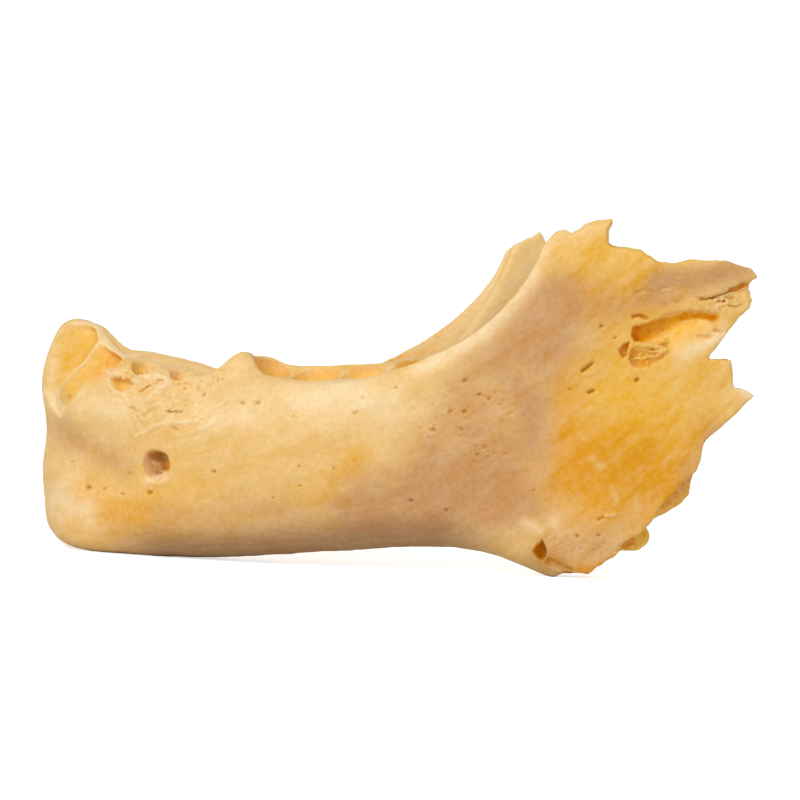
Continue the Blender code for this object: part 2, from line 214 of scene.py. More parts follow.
def scattered(cells: np.ndarray, seed: int) -> np.ndarray:
    """Give each whole-numbered cell its own fixed number.

    Args:
        cells: Cell numbers, one row of three for each cell.
        seed: Which set of numbers to take.

    Returns:
        Numbers from 0 to 1.
    """
    # Large odd factors and shifts mix the bits of the cell's three numbers
    mixed = cells.astype(np.int64).astype(np.uint64)
    code = mixed[:, 0] * np.uint64(73856093) ^ mixed[:, 1] * np.uint64(19349663)
    code ^= mixed[:, 2] * np.uint64(83492791) ^ np.uint64(seed * 2654435761 % 2 ** 32)
    code ^= code >> np.uint64(15)
    code *= np.uint64(2246822519)
    code ^= code >> np.uint64(13)
    code *= np.uint64(3266489917)
    code ^= code >> np.uint64(16)
    return (code & np.uint64(0xFFFFFF)).astype(float) / 0xFFFFFF


def soft_noise(points: np.ndarray, size: float | Sequence[float], seed: int) -> np.ndarray:
    """Read smooth noise.

    Args:
        points: Places, one row of three for each.
        size: Width of one lump, in the points' own unit, or one width for each direction.
        seed: Which noise to read.

    Returns:
        Numbers from -1 to 1.
    """
    scaled = points / np.asarray(size, float)
    low = np.floor(scaled)
    ease = scaled - low
    ease = ease * ease * (3.0 - 2.0 * ease)
    total = np.zeros(len(points))
    for corner in itertools.product((0, 1), repeat=3):
        weight = np.prod(np.where(corner, ease, 1.0 - ease), axis=1)
        total += weight * scattered(low + corner, seed)
    return 2.0 * total - 1.0


def pore_noise(points: np.ndarray, size: float, seed: int) -> np.ndarray:
    """Measure how far each place is from the nearest of many scattered pores.

    Args:
        points: Places, one row of three for each.
        size: Mean distance between pores, in the points' unit.
        seed: Which scatter to read.

    Returns:
        Distances as shares of size.
    """
    scaled = points / size
    cell = np.floor(scaled)
    nearest = np.full(len(points), 9.0)
    for corner in itertools.product((-1, 0, 1), repeat=3):
        near = cell + corner
        pore = near + np.stack([scattered(near, seed + axis) for axis in range(3)], axis=1)
        nearest = np.minimum(nearest, ((pore - scaled) ** 2).sum(axis=1))
    return np.sqrt(nearest)


@dataclass(frozen=True)
class SmoothTable:
    """Rows of numbers, read on the smooth curve through them."""

    keys: np.ndarray
    values: np.ndarray

    def at(self, places: np.ndarray) -> np.ndarray:
        """Read the table.

        Args:
            places: Where to read it.

        Returns:
            One value or row for each place.
        """
        slopes = np.gradient(self.values, self.keys, axis=0)
        places = np.clip(places, self.keys[0], self.keys[-1])
        low = np.clip(np.searchsorted(self.keys, places) - 1, 0, len(self.keys) - 2)
        shape = (-1,) + (1,) * (self.values.ndim - 1)
        span = (self.keys[low + 1] - self.keys[low]).reshape(shape)
        t = (places - self.keys[low]).reshape(shape) / span
        return ((2 * t ** 3 - 3 * t ** 2 + 1) * self.values[low]
                + (t ** 3 - 2 * t ** 2 + t) * span * slopes[low]
                + (3 * t ** 2 - 2 * t ** 3) * self.values[low + 1]
                + (t ** 3 - t ** 2) * span * slopes[low + 1])


@dataclass
class ArchLine:
    """Middle line of the bone in plan, measured along from the chin; the left half is below zero."""

    # (X, distance from the middle plane), from the chin backwards
    half: Line = (
        (-36.0, 0.0), (-35.3, 4.2), (-33.3, 7.8), (-30.3, 10.9), (-26.5, 13.6), (-21.5, 16.6),
        (-15.0, 19.9), (-7.0, 23.3), (1.0, 26.2), (9.0, 29.1), (16.0, 31.6), (23.0, 33.3),
        (31.0, 34.2), (42.0, 34.8),
    )
    reading_step: float = 0.25  # distance between the points that a place is compared with
    batch: int = 20000          # places compared at a time

    def __post_init__(self) -> None:
        """Measure the line."""
        half = np.array(self.half)
        far = np.concatenate([[0.0], np.cumsum(np.hypot(*np.diff(half, axis=0).T))])
        left = half[:0:-1] * (1.0, -1.0)
        self.table = SmoothTable(np.concatenate([-far[:0:-1], far]), np.concatenate([left, half]))
        self.end = float(far[-1])

    def outward(self, along: np.ndarray) -> np.ndarray:
        """Find which way the cheek lies from the middle line, in plan.

        Args:
            along: Distances along the arch.

        Returns:
            Unit directions, one row of two for each place.
        """
        step = 0.2
        run = (self.table.at(np.minimum(along + step, self.end))
               - self.table.at(np.maximum(along - step, -self.end)))
        run /= np.linalg.norm(run, axis=1)[:, None]
        return np.stack([-run[:, 1], run[:, 0]], axis=1)

    def lifted(self, along: np.ndarray, offset: np.ndarray, height: np.ndarray) -> np.ndarray:
        """Turn places along the arch into points of the jaw's frame.

        Args:
            along: Distances along the arch.
            offset: Distances from the middle line to the cheek.
            height: Heights.

        Returns:
            Points, one row of three for each place.
        """
        plan = self.table.at(along) + self.outward(along) * offset[:, None]
        return np.column_stack([plan, height])

    def coordinates(self, points: np.ndarray) -> tuple[np.ndarray, np.ndarray]:
        """Find where points lie along the arch.

        Args:
            points: Points of the jaw's frame, in millimetres.

        Returns:
            Distances along the arch, and offsets to the cheek.
        """
        steps = np.arange(-self.end, self.end, self.reading_step)
        line = self.table.at(steps)
        squared = (line ** 2).sum(axis=1)
        nearest = np.concatenate([
            np.argmin(squared - 2.0 * points[start:start + self.batch, :2] @ line.T, axis=1)
            for start in range(0, len(points), self.batch)])
        outward = self.outward(steps[nearest])
        away = points[:, :2] - line[nearest]
        run = np.stack([outward[:, 1], -outward[:, 0]], axis=1)
        return steps[nearest] + (away * run).sum(axis=1), (away * outward).sum(axis=1)


ARCH = ArchLine()


def finished_object(name: str, bm: bmesh.types.BMesh) -> bpy.types.Object:
    """Turn a bmesh into an object of the scene, with its faces pointing out.

    Args:
        name: The object's name.
        bm: The mesh, which is freed.

    Returns:
        The object.
    """
    bm.normal_update()
    bmesh.ops.recalc_face_normals(bm, faces=bm.faces)
    mesh = bpy.data.meshes.new(name)
    bm.to_mesh(mesh)
    bm.free()
    piece = bpy.data.objects.new(name, mesh)
    bpy.context.scene.collection.objects.link(piece)
    return piece


def joined_edges(bm: bmesh.types.BMesh, points: np.ndarray) -> list[bmesh.types.BMEdge]:
    """Draw a closed loop of edges through points.

    Args:
        bm: The mesh to draw in.
        points: The loop's corners.

    Returns:
        The loop's edges.
    """
    corners = bmesh.ops.create_circle(bm, segments=len(points), radius=1.0)["verts"]
    for corner, point in zip(corners, points):
        corner.co = point
    return sorted({edge for corner in corners for edge in corner.link_edges}, key=lambda e: e.index)


def lofted(rings: Sequence[np.ndarray]) -> bmesh.types.BMesh:
    """Skin closed loops of points from the first to the last and close both ends.

    Args:
        rings: Loops with the same number of points.

    Returns:
        The closed mesh.
    """
    bm = bmesh.new()
    loops = [joined_edges(bm, ring) for ring in rings]
    for first, second in zip(loops, loops[1:]):
        bmesh.ops.bridge_loops(bm, edges=first + second)
    for end in (loops[0], loops[-1]):
        bmesh.ops.contextual_create(bm, geom=end)
    return bm


@dataclass(frozen=True)
class JawForm:
    """The whole bone, before anything is lost from it."""

    section_step: float = 0.8   # distance between cross sections
    points_each: int = 8        # points between two named points of a section
    face_levels: tuple[float, ...] = (0.05, 0.25, 0.5, 0.78, 1.0)

    # (along; heights of base, outer rim, inner rim, crest; cheek face at five levels; tongue face)
    sections: Rows = (
        (0.0, 0.2, 26.3, 26.0, 27.5, 3.5, 4.5, 4.9, 5.3, 3.4, 3.4, 5.2, 4.6, 3.3, 1.9),
        (5.0, 0.0, 26.0, 25.7, 26.6, 3.8, 4.7, 4.6, 5.0, 3.2, 3.3, 5.0, 4.7, 3.6, 2.2),
        (10.0, -0.1, 23.8, 23.9, 24.0, 4.0, 4.9, 4.5, 4.7, 3.1, 3.0, 4.6, 4.7, 4.1, 2.8),
        (15.0, -0.1, 22.4, 23.7, 23.2, 3.8, 4.8, 4.8, 4.5, 3.0, 2.6, 4.2, 4.7, 4.5, 3.4),
        (20.0, 0.0, 21.5, 22.8, 22.2, 3.6, 4.8, 5.0, 4.4, 2.6, 2.2, 3.8, 4.7, 4.9, 4.1),
        (25.0, 0.15, 21.5, 21.8, 21.6, 3.5, 4.6, 5.0, 4.3, 2.4, 1.9, 3.4, 4.7, 5.2, 4.6),
        (29.4, 0.5, 24.2, 23.4, 24.1, 3.4, 4.6, 5.0, 4.2, 2.3, 1.7, 3.1, 4.6, 5.4, 4.9),
        (32.6, 0.85, 21.6, 22.9, 22.2, 3.3, 4.5, 4.9, 4.2, 2.5, 1.5, 2.8, 4.5, 5.5, 5.0),
        (38.0, 1.5, 21.0, 23.0, 21.9, 3.1, 4.3, 4.7, 4.1, 2.7, 1.2, 2.5, 4.2, 5.6, 5.2),
        (44.0, 2.05, 21.5, 23.5, 22.3, 3.0, 4.1, 4.5, 4.0, 2.8, 1.0, 2.3, 3.9, 5.5, 5.2),
        (50.0, 2.6, 23.7, 24.2, 22.9, 2.8, 3.9, 4.3, 3.9, 2.7, 0.9, 2.1, 3.6, 5.0, 4.6),
        (55.0, 2.85, 26.0, 24.4, 23.8, 2.7, 3.7, 4.0, 3.5, 2.2, 0.9, 1.9, 3.1, 3.9, 3.4),
        (60.0, 2.3, 29.6, 27.7, 28.7, 2.7, 3.4, 3.5, 2.7, 1.5, 1.0, 1.6, 2.1, 2.3, 1.7),
        (64.0, 0.95, 34.6, 33.5, 34.2, 2.7, 3.1, 2.9, 2.0, 1.1, 1.2, 1.1, 1.2, 1.2, 0.9),
        (67.0, -0.1, 41.0, 40.4, 40.8, 2.7, 2.7, 2.3, 1.7, 1.2, 1.5, 0.6, 0.6, 0.9, 0.9),
        (73.0, -2.0, 45.0, 45.0, 45.0, 2.9, 2.5, 2.0, 1.7, 1.4, 1.5, 0.4, 0.6, 1.4, 1.1),
        (80.0, -2.0, 45.0, 45.0, 45.0, 2.8, 2.4, 2.1, 2.2, 1.9, 1.3, 0.2, 0.8, 2.1, 1.7),
        (92.0, -2.0, 45.0, 45.0, 45.0, 2.8, 2.4, 2.4, 2.6, 2.2, 1.0, 0.2, 1.0, 2.6, 2.2),
    )

    # How much lower the right side's rims are worn
    right_rim_wear: Line = (
        (0.0, 0.0), (3.0, 0.1), (6.0, 0.8), (12.0, 1.4), (16.0, 1.2), (20.0, 1.2), (25.0, 1.8),
        (29.4, 3.2), (32.6, 2.0), (38.0, 1.8), (44.0, 1.7), (50.0, 1.2), (55.0, 0.7), (60.0, 0.4),
        (66.0, 0.0),
    )

    cheek_relief: tuple[Mark, ...] = (
        Mark(((0.0, 3.0), (0.0, 9.0)), 3.2, 0.5),           # mental protuberance
        Mark(((6.5, 2.2), (9.0, 2.2)), 2.6, 0.5),           # mental tubercle
        Mark(((4.5, 14.5), (13.0, 11.5)), 3.4, -0.9),       # mental fossa
        Mark(((7.5, 19.0), (9.0, 15.5)), 2.4, 0.8),         # canine eminence
        Mark(((22.0, 15.0), (36.0, 13.5)), 5.0, 0.5),       # over the growing teeth
        Mark(((40.0, 16.0), (57.0, 25.0)), 3.0, 0.5),       # oblique line
        Mark(((50.0, 6.0), (59.0, 8.0)), 4.0, -0.5),        # hollow before the masseter
        Mark(((66.0, 3.5), (73.0, 7.0)), 2.6, 0.5),         # masseter's attachment
        Mark(((74.0, 22.0), (84.0, 14.0)), 5.0, -0.5),      # ramus hollow
    )
    tongue_relief: tuple[Mark, ...] = (
        Mark(((0.0, 7.0), (1.6, 9.0)), 1.3, 0.9),           # genial spines
        Mark(((5.0, 2.0), (10.0, 2.4)), 2.4, -0.5),         # digastric fossa
        Mark(((7.0, 13.5), (18.0, 15.5)), 4.0, -0.7),       # sublingual fossa
        Mark(((24.0, 11.0), (54.0, 19.5)), 1.8, 0.7),       # mylohyoid line
        Mark(((28.0, 6.5), (48.0, 8.5)), 3.6, -0.8),        # submandibular fossa
        Mark(((58.0, 25.0), (68.0, 37.0)), 2.4, 0.35),      # temporal crest
        Mark(((73.5, 19.0), (74.5, 21.5)), 1.3, 1.0),       # lingula
        Mark(((76.0, 18.0), (66.0, 10.5)), 0.9, -0.5),      # mylohyoid groove
        Mark(((66.0, 4.0), (74.0, 9.0)), 2.4, 0.4),         # medial pterygoid's attachment
    )

    @classmethod
    def rim_wear(cls, along: np.ndarray) -> np.ndarray:
        """Give how much lower the rims are worn at each distance along the arch."""
        keys, wear = np.array(cls.right_rim_wear).T
        return SmoothTable(keys, wear).at(np.maximum(along, 0.0))

    @classmethod
    def height(cls, level: Level, distance: np.ndarray) -> np.ndarray:
        """Read a height of the unworn cross sections.

        Args:
            level: Which height.
            distance: Distances along the arch, above zero.

        Returns:
            Heights.
        """
        rows = np.array(cls.sections)
        return SmoothTable(rows[:, 0], rows[:, level.value]).at(distance)

    def named_points(self, along: np.ndarray) -> np.ndarray:
        """Give the twelve points that shape each cross section.

        Args:
            along: Distances along the arch.

        Returns:
            (offset, height) of each point, once round each section from its base.
        """
        half = np.array(self.sections)
        keys = np.concatenate([-half[:0:-1, 0], half[:, 0]])
        rows = SmoothTable(keys, np.concatenate([half[:0:-1, 1:], half[:, 1:]])).at(along)
        rows[:, 1:4] -= self.rim_wear(along)[:, None]
        base, outer_rim, inner_rim, crest = rows[:, :4].T
        outer, inner = rows[:, 4:9].T, rows[:, 9:14].T
        points = [((outer[0] - inner[0]) / 2, base)]
        points += [(out, base + level * (outer_rim - base)) for out, level in zip(outer, self.face_levels)]
        points += [((outer[-1] - inner[-1]) / 2, crest)]
        points += [(-inn, base + level * (inner_rim - base))
                   for inn, level in reversed(list(zip(inner, self.face_levels)))]
        return np.array(points).transpose(2, 0, 1)

    def outlines(self, along: np.ndarray) -> np.ndarray:
        """Draw a closed smooth curve through each section's named points.

        Args:
            along: Distances along the arch.

        Returns:
            (offset, height) of each point of each curve.
        """
        start = self.named_points(along)
        before, end, after = (np.roll(start, shift, axis=1) for shift in (1, -1, -2))
        t = (np.arange(self.points_each) / self.points_each)[None, None, :, None]
        start, before, end, after = (part[:, :, None, :] for part in (start, before, end, after))
        curve = 0.5 * (2 * start + (end - before) * t
                       + (2 * before - 5 * start + 4 * end - after) * t ** 2
                       + (3 * start - before - 3 * end + after) * t ** 3)
        return curve.reshape(len(along), -1, 2)

    def build(self) -> bmesh.types.BMesh:
        """Skin the cross sections from one rear end round the chin to the other.

        Returns:
            The closed form, in millimetres.
        """
        count = 2 * int(ARCH.end / self.section_step) + 1
        along = np.linspace(-ARCH.end, ARCH.end, count)
        curves = self.outlines(along)
        points = curves.shape[1]
        flat_along = np.repeat(along, points)
        offset, height = curves.reshape(-1, 2).T
        places = np.column_stack([np.abs(flat_along), height])
        relief = np.where(offset > 0.0, marks_read(self.cheek_relief, places),
                          marks_read(self.tongue_relief, places))
        offset = offset + np.sign(offset) * relief
        return lofted(ARCH.lifted(flat_along, offset, height).reshape(count, points, 3))


@dataclass(frozen=True)
class BrokenRami:
    """The breaks behind both rami, and the outer plate lost along the left one's lower edge."""

    # From the front border over the top and down the rear edge to the lower border: (X, Z)
    left_edge: Line = (
        (16.4, 37.4), (18.1, 38.7), (18.7, 39.4), (19.7, 39.7), (20.5, 39.2), (22.0, 40.3), (23.4, 40.7),
        (25.1, 41.1), (25.0, 40.2), (24.6, 39.4), (24.7, 38.3), (25.2, 37.9), (28.1, 37.6), (29.1, 36.9),
        (30.3, 36.2), (33.1, 36.4), (34.9, 36.6), (36.8, 36.5), (40.5, 35.8), (41.4, 34.7), (40.5, 33.9),
        (40.9, 32.0), (40.6, 31.4), (39.5, 30.2), (35.9, 25.1), (37.8, 25.2), (38.6, 25.4), (38.7, 24.3),
        (39.2, 22.0), (40.4, 22.1), (41.4, 21.3), (39.7, 19.5), (36.7, 16.6), (35.8, 14.9), (34.9, 11.7),
        (34.7, 9.5), (32.9, 7.9), (30.2, 6.5), (29.8, 6.1), (30.3, 5.1), (30.0, 4.1), (29.0, 3.2),
        (26.7, 3.2), (25.4, 2.3), (24.5, 1.5), (23.2, 0.4), (21.3, 0.4), (20.4, 0.5),
        (19.2, -0.1), (17.8, -1.4),
    )
    right_edge: Line = (
        (15.0, 34.6), (17.2, 36.9), (19.4, 38.3), (21.3, 39.4), (22.4, 37.6), (24.1, 34.9), (25.2, 35.3),
        (27.6, 32.7), (31.0, 31.6), (33.4, 29.2), (32.0, 26.4), (34.4, 23.6), (34.9, 20.6), (32.4, 18.4),
        (33.0, 14.6), (31.4, 10.6), (29.2, 9.2), (28.8, 5.8), (26.4, 4.6), (25.6, 2.4), (22.4, 1.2),
        (20.4, 0.3), (18.4, -1.0),
    )
    box: Triple = (82.4, -8.0, 60.0)    # far X, low Z and high Z of what is broken off
    sides: Pair = (27.0, 43.0)          # distances from the middle plane that a break spans
    layer: float = 0.8                  # thickness of the break's layers
    middle: float = 35.0                # where the spongy middle lies between the two plates
    middle_width: float = 0.9
    recess: float = 0.3                 # how much further back the spongy middle is broken
    jag_share: float = 0.04             # sideways throw of each new corner, as a share of its edge
    ragged: float = 0.14                # how much the edge wanders from layer to layer
    bend: float = 1.3                   # width of one bend of the wander
    overhang: float = 4.0               # how far before the front border the part above is taken

    left_plate_loss: Line = (
        (38.0, 14.5), (34.6, 12.1), (33.6, 11.2), (32.6, 10.2), (31.2, 8.6), (30.3, 7.0), (29.9, 6.4),
        (28.8, 5.4), (27.6, 4.7), (26.7, 4.2), (26.3, 3.0), (30.0, 0.0), (38.0, 5.0),
    )
    plate_loss_face: float = 34.9   # distance from the middle plane of the plate left behind

    def jagged(self, edge: np.ndarray, seed: int) -> np.ndarray:
        """Add finer corners to a broken edge.

        Args:
            edge: The edge's main corners.
            seed: Which jags to take.

        Returns:
            The edge with three more corners between each two.
        """
        rng = np.random.default_rng(seed)
        for _ in range(2):
            run = np.diff(edge, axis=0)
            throw = rng.normal(0.0, self.jag_share, len(run))[:, None]
            middle = edge[:-1] + run / 2 + np.stack([-run[:, 1], run[:, 0]], axis=1) * throw
            edge = np.concatenate([np.stack([edge[:-1], middle], axis=1).reshape(-1, 2), edge[-1:]])
        return edge

    def cutter(self, corners: Sequence[Pair], side: Side) -> bmesh.types.BMesh:
        """Make the solid that takes away everything behind a broken edge.

        Args:
            corners: The edge's main corners, from the front border to the lower border.
            side: The jaw's half.

        Returns:
            The solid, in layers from the tongue side to the cheek side.
        """
        edge = self.jagged(np.array(corners), seed=side.value + 5)
        run = np.gradient(edge, axis=0)
        run /= np.linalg.norm(run, axis=1)[:, None]
        into_bone = np.stack([run[:, 1], -run[:, 0]], axis=1)
        far_x, low_z, high_z = self.box
        box = np.array([(edge[-1][0], low_z), (far_x, low_z), (far_x, high_z),
                        (edge[0][0] - self.overhang, high_z)])
        rings = []
        for distance in np.arange(self.sides[0], self.sides[1], self.layer):
            places = np.column_stack([edge[:, 0], np.full(len(edge), distance), edge[:, 1]])
            wander = np.stack([soft_noise(places, self.bend, seed) for seed in (11, 12)], axis=1)
            recess = self.recess * math.exp(-((distance - self.middle) / self.middle_width) ** 2)
            layer = edge + self.ragged * wander + recess * into_bone
            outline = np.concatenate([layer, box])
            rings.append(np.column_stack([outline[:, 0], np.full(len(outline), side.value * distance),
                                          outline[:, 1]]))
        return lofted(rings)

    def cutters(self) -> list[bmesh.types.BMesh]:
        """Make every solid that the breaks take away."""
        plate = np.array(self.left_plate_loss)
        return [self.cutter(self.left_edge, Side.LEFT), self.cutter(self.right_edge, Side.RIGHT),
                side_prism(plate, self.plate_loss_face, self.sides[1], Side.LEFT)]


def side_prism(outline: np.ndarray, near: float, far: float, side: Side) -> bmesh.types.BMesh:
    """Make a solid with an upright (X, Z) outline.

    Args:
        outline: Corners of the outline.
        near: Distance from the middle plane where the solid starts.
        far: Distance from the middle plane where it ends.
        side: The jaw's half.

    Returns:
        The closed solid.
    """
    return lofted([np.column_stack([outline[:, 0], np.full(len(outline), side.value * distance),
                                    outline[:, 1]]) for distance in (near, far)])


@dataclass(frozen=True)
class Socket:
    """A tooth's hollow: half an egg, from its mouth at the rim down into the bone."""

    along: float
    offset: float       # towards the cheek from the arch's middle line
    top: float          # height of its mouth
    length: float       # half width of the mouth along the arch
    width: float        # half width of the mouth across the arch
    depth: float
    lean: float = 0.0   # how far the tip leans towards the cheek
    slant: float = 0.0  # how far the tip leans towards the chin

    def hollow(self, side: Side) -> bmesh.types.BMesh:
        """Make the hollow with a rounded tip.

        Args:
            side: The jaw's half.

        Returns:
            The solid that is taken away.
        """
        bm = bmesh.new()
        bmesh.ops.create_uvsphere(bm, u_segments=28, v_segments=18, radius=1.0)
        ball = np.array([vert.co for vert in bm.verts])
        down = np.maximum(-ball[:, 2], 0.0)
        at = np.full(len(ball), side.value * self.along)
        out = ARCH.outward(at)
        to_chin = np.stack([out[:, 1], -out[:, 0]], axis=1) * -side.value
        across = ball[:, 1] * self.width + self.offset + self.lean * down
        run = ball[:, 0] * self.length + self.slant * down
        plan = ARCH.table.at(at) + out * across[:, None] + to_chin * run[:, None]
        height = self.top - JawForm.rim_wear(at) + ball[:, 2] * self.depth
        for vert, (x, y), z in zip(bm.verts, plan, height):
            vert.co = (x, y, z)
        return bm


@dataclass(frozen=True)
class AlveolarProcess:
    """The row of tooth sockets."""

    right_front: tuple[Socket, ...] = (
        Socket(3.4, 0.1, 28.0, 2.1, 2.1, 9.5, 1.6, 0.6),        # central incisor
        Socket(9.2, -0.2, 26.4, 2.1, 2.2, 8.6, 1.6, 1.0),       # lateral incisor
        Socket(14.4, 0.6, 23.8, 1.3, 1.8, 4.4, 0.6, 0.3),       # canine
    )
    sockets: tuple[Socket, ...] = (
        Socket(16.3, 1.8, 22.9, 1.6, 1.6, 3.4, 0.2),            # first molar, front root
        Socket(21.0, 1.3, 22.7, 1.35, 1.7, 2.9, 0.2),           # first molar, rear root
        Socket(31.7, -0.9, 23.2, 2.1, 2.9, 5.0),                # second molar, front root
        Socket(37.3, -1.2, 23.3, 3.0, 3.0, 4.6),                # second molar, rear root
        Socket(43.0, -1.4, 23.2, 2.8, 2.8, 2.4),                # first large molar, a shallow dish
        Socket(50.4, 0.7, 24.3, 2.1, 2.2, 3.2),                 # gap over the next tooth
    )

    def cutters(self) -> list[bmesh.types.BMesh]:
        """Make every hollow of the tooth row."""
        hollows = [socket.hollow(side) for side in Side for socket in self.sockets]
        return hollows + [socket.hollow(Side.RIGHT) for socket in self.right_front]


@dataclass(frozen=True)
class Foramen:
    """A round canal that enters the bone."""

    place: Triple   # X, distance from the middle plane, Z
    radius: float
    into: Triple    # direction into the bone, with Y away from the middle plane
    depth: float = 3.4

    MOUTH = 1.25    # how wide the canal begins and ends, as shares of its radius
    TIP = 0.55

    def canal(self, side: Side) -> bmesh.types.BMesh:
        """Make the tapering canal on one half of the jaw.

        Args:
            side: The jaw's half.

        Returns:
            The solid that is taken away.
        """
        x, y, z = self.place
        axis = Vector((self.into[0], side.value * self.into[1], self.into[2])).normalized()
        bm = bmesh.new()
        bmesh.ops.create_cone(bm, cap_ends=True, segments=32, radius1=self.radius * self.MOUTH,
                              radius2=self.radius * self.TIP, depth=2 * self.depth)
        turn = axis.to_track_quat("Z", "Y").to_matrix().to_4x4()
        bmesh.ops.transform(bm, matrix=Matrix.Translation((x, side.value * y, z)) @ turn, verts=bm.verts)
        return bm


MENTAL = Foramen((-27.1, 19.4, 11.2), 1.4, (-0.3, -0.9, -0.1))
MANDIBULAR = Foramen((27.0, 31.0, 20.6), 1.2, (-0.75, 0.55, -0.45))


@dataclass
class BonePoints:
    """The worn surface's points, with where each lies on the jaw."""

    points: np.ndarray
    normals: np.ndarray
    buried: np.ndarray  # how deep under the whole form's surface each point lies

    SKIN = (0.25, 0.7)          # depths under the old surface where the skin ends
    CHEEK = (0.1, 0.5)          # how squarely the cheek side faces outwards where it begins and is full
    RAMI = (8.0, 16.0)          # X where the rami begin and are full
    WANDER = (0.15, 1.1, 51)    # throw, bend and seed of the marks' wander
    FIBRE_RISE = 0.15           # how steeply the body's fibres climb backwards
    FIBRE_TURN = 42.0           # distance along the arch where they turn up into the ramus
    FIBRE_BEND = 0.011          # how sharply they turn

    def __post_init__(self) -> None:
        """Find where the points lie along the arch and which way they face."""
        self.along, self.offset = ARCH.coordinates(self.points)
        self.distance = np.abs(self.along)
        self.height = self.points[:, 2]
        self.outward = ARCH.outward(self.along)
        self.facing = (self.normals[:, :2] * self.outward).sum(axis=1)
        self.left = self.along < 0.0
        self.skin = 1.0 - smooth_step(*self.SKIN, self.buried)
        self.cheek = smooth_step(*self.CHEEK, self.facing)
        self.rami = smooth_step(*self.RAMI, self.points[:, 0])
        self.side = self.unsteady(*self.WANDER)

    def unsteady(self, throw: float, size: float, seed: int) -> np.ndarray:
        """Give the side view's places with a wander, so that marks get unsteady lines.

        Args:
            throw: How far places wander.
            size: Width of one bend.
            seed: Which wander to take.

        Returns:
            (X, height) of each point.
        """
        wander = np.column_stack([soft_noise(self.points, size, seed + axis) for axis in range(2)])
        return self.points[:, (0, 2)] + throw * wander

    def grain_run(self) -> np.ndarray:
        """Place the points along and across the bone's fibres, which rise into the ramus.

        Returns:
            Places along the fibres, up across them and through the bone, in millimetres.
        """
        turned = np.maximum(self.distance - self.FIBRE_TURN, 0.0)
        rise = self.FIBRE_RISE * self.distance + self.FIBRE_BEND * turned ** 2
        return np.column_stack([self.along, self.height - rise, self.offset])


def mesh_arrays(mesh: bpy.types.Mesh) -> tuple[np.ndarray, np.ndarray]:
    """Read a mesh's points and the normals there.

    Args:
        mesh: The mesh.

    Returns:
        Points and normals.
    """
    points = np.empty(len(mesh.vertices) * 3)
    mesh.vertices.foreach_get("co", points)
    normals = np.empty(len(mesh.vertices) * 3)
    mesh.vertex_normals.foreach_get("vector", normals)
    return points.reshape(-1, 3), normals.reshape(-1, 3)


def buried_depth(points: np.ndarray, form: BVHTree) -> np.ndarray:
    """Measure how far points lie from the whole form's surface.

    Args:
        points: The points.
        form: The whole form's faces.

    Returns:
        Distances, in millimetres.
    """
    return np.array([form.find_nearest(point)[3] for point in points.tolist()])


@dataclass(frozen=True)
class FrontBreak:
    """The left incisors' sockets, open in front where their plate is lost, and the septum between."""

    # (height; distance of the septum's edge along the arch, its depth under the plate's face)
    septum: Rows = (
        (16.0, 3.2, 0.0), (17.0, 3.4, 0.1), (18.9, 4.3, 0.3), (20.0, 5.3, 0.7), (21.2, 6.3, 1.1),
        (22.5, 7.0, 1.5), (24.6, 7.4, 1.9), (26.3, 7.6, 2.0), (28.0, 7.7, 1.8),
    )
    # (distance along the arch, height of the plate that is left)
    plate_edge: Line = (
        (0.0, 18.4), (2.6, 18.2), (3.4, 17.0), (4.2, 16.1), (5.2, 15.7), (6.9, 16.4), (8.2, 17.3),
        (8.9, 18.0), (9.4, 19.1), (10.1, 20.0), (11.0, 20.4), (11.9, 20.9), (12.7, 21.6), (13.6, 22.4),
    )
    span: Pair = (1.0, 13.4)        # where the two sockets begin and end along the arch
    lip: float = 0.5                # how far the plate's edge stands over the sockets
    troughs: Pair = (1.5, 2.2)      # how hollow the first and the second socket are
    skew: Pair = (1.2, 0.7)         # above 1 a socket is deepest near the septum, below 1 far from it
    channel: Pair = (15.5, 21.0)    # heights over which the sockets deepen
    rim: Pair = (-0.2, 0.9)         # how far below the crest they are shallow and full
    thinned: Pair = (-2.6, 2.4)     # offsets between which the bone is thinned
    roundness: float = 0.8          # below 1 a socket's walls are steep and its floor is flat
    edge: float = 0.3               # height over which the plate's edge drops to the sockets
    deepening: float = 1.2          # height over the plate's edge where the sockets are fully hollow
    front_end: Pair = (0.3, 3.0)    # distances along the arch over which the loss begins
    rear_end: Pair = (0.2, -0.3)    # the same where it ends, from the span's end

    def hollows(self, distance: np.ndarray, height: np.ndarray) -> tuple[np.ndarray, np.ndarray]:
        """Work out how deep the sockets lie under the lost plate's face.

        Args:
            distance: Distances along the arch.
            height: Heights.

        Returns:
            The depths, and the part of them that the sockets' own hollows make.
        """
        levels, places, depths = np.array(self.septum).T
        septum = np.interp(height, levels, places)
        first, last = self.span
        front = distance < septum
        share = np.where(front, (distance - first) / (septum - first), (last - distance) / (last - septum))
        share = np.clip(share, 0.0, 1.0)
        trough, skew = (np.where(front, *pair) for pair in (self.troughs, self.skew))
        hollow = trough * np.sin(math.pi * share ** skew) ** self.roundness
        below = JawForm.height(Level.CREST, distance) - height
        hollow *= smooth_step(*self.channel, height) * smooth_step(*self.rim, below)
        above = height - np.interp(distance, *np.array(self.plate_edge).T)
        inside = smooth_step(0.0, self.edge, above) * smooth_step(*self.front_end, distance)
        inside *= smooth_step(*self.rear_end, distance - last)
        hollow *= smooth_step(0.0, self.deepening, above)
        plane = np.interp(height, levels, depths) * smooth_step(0.0, 0.5, share)
        return (self.lip + plane + hollow) * inside, hollow

    def shift(self, bone: BonePoints) -> np.ndarray:
        """Work out how far inwards each point moves."""
        deep, _ = self.hollows(bone.distance, bone.height)
        return np.where(bone.left, deep, 0.0) * smooth_step(*self.thinned, bone.offset)


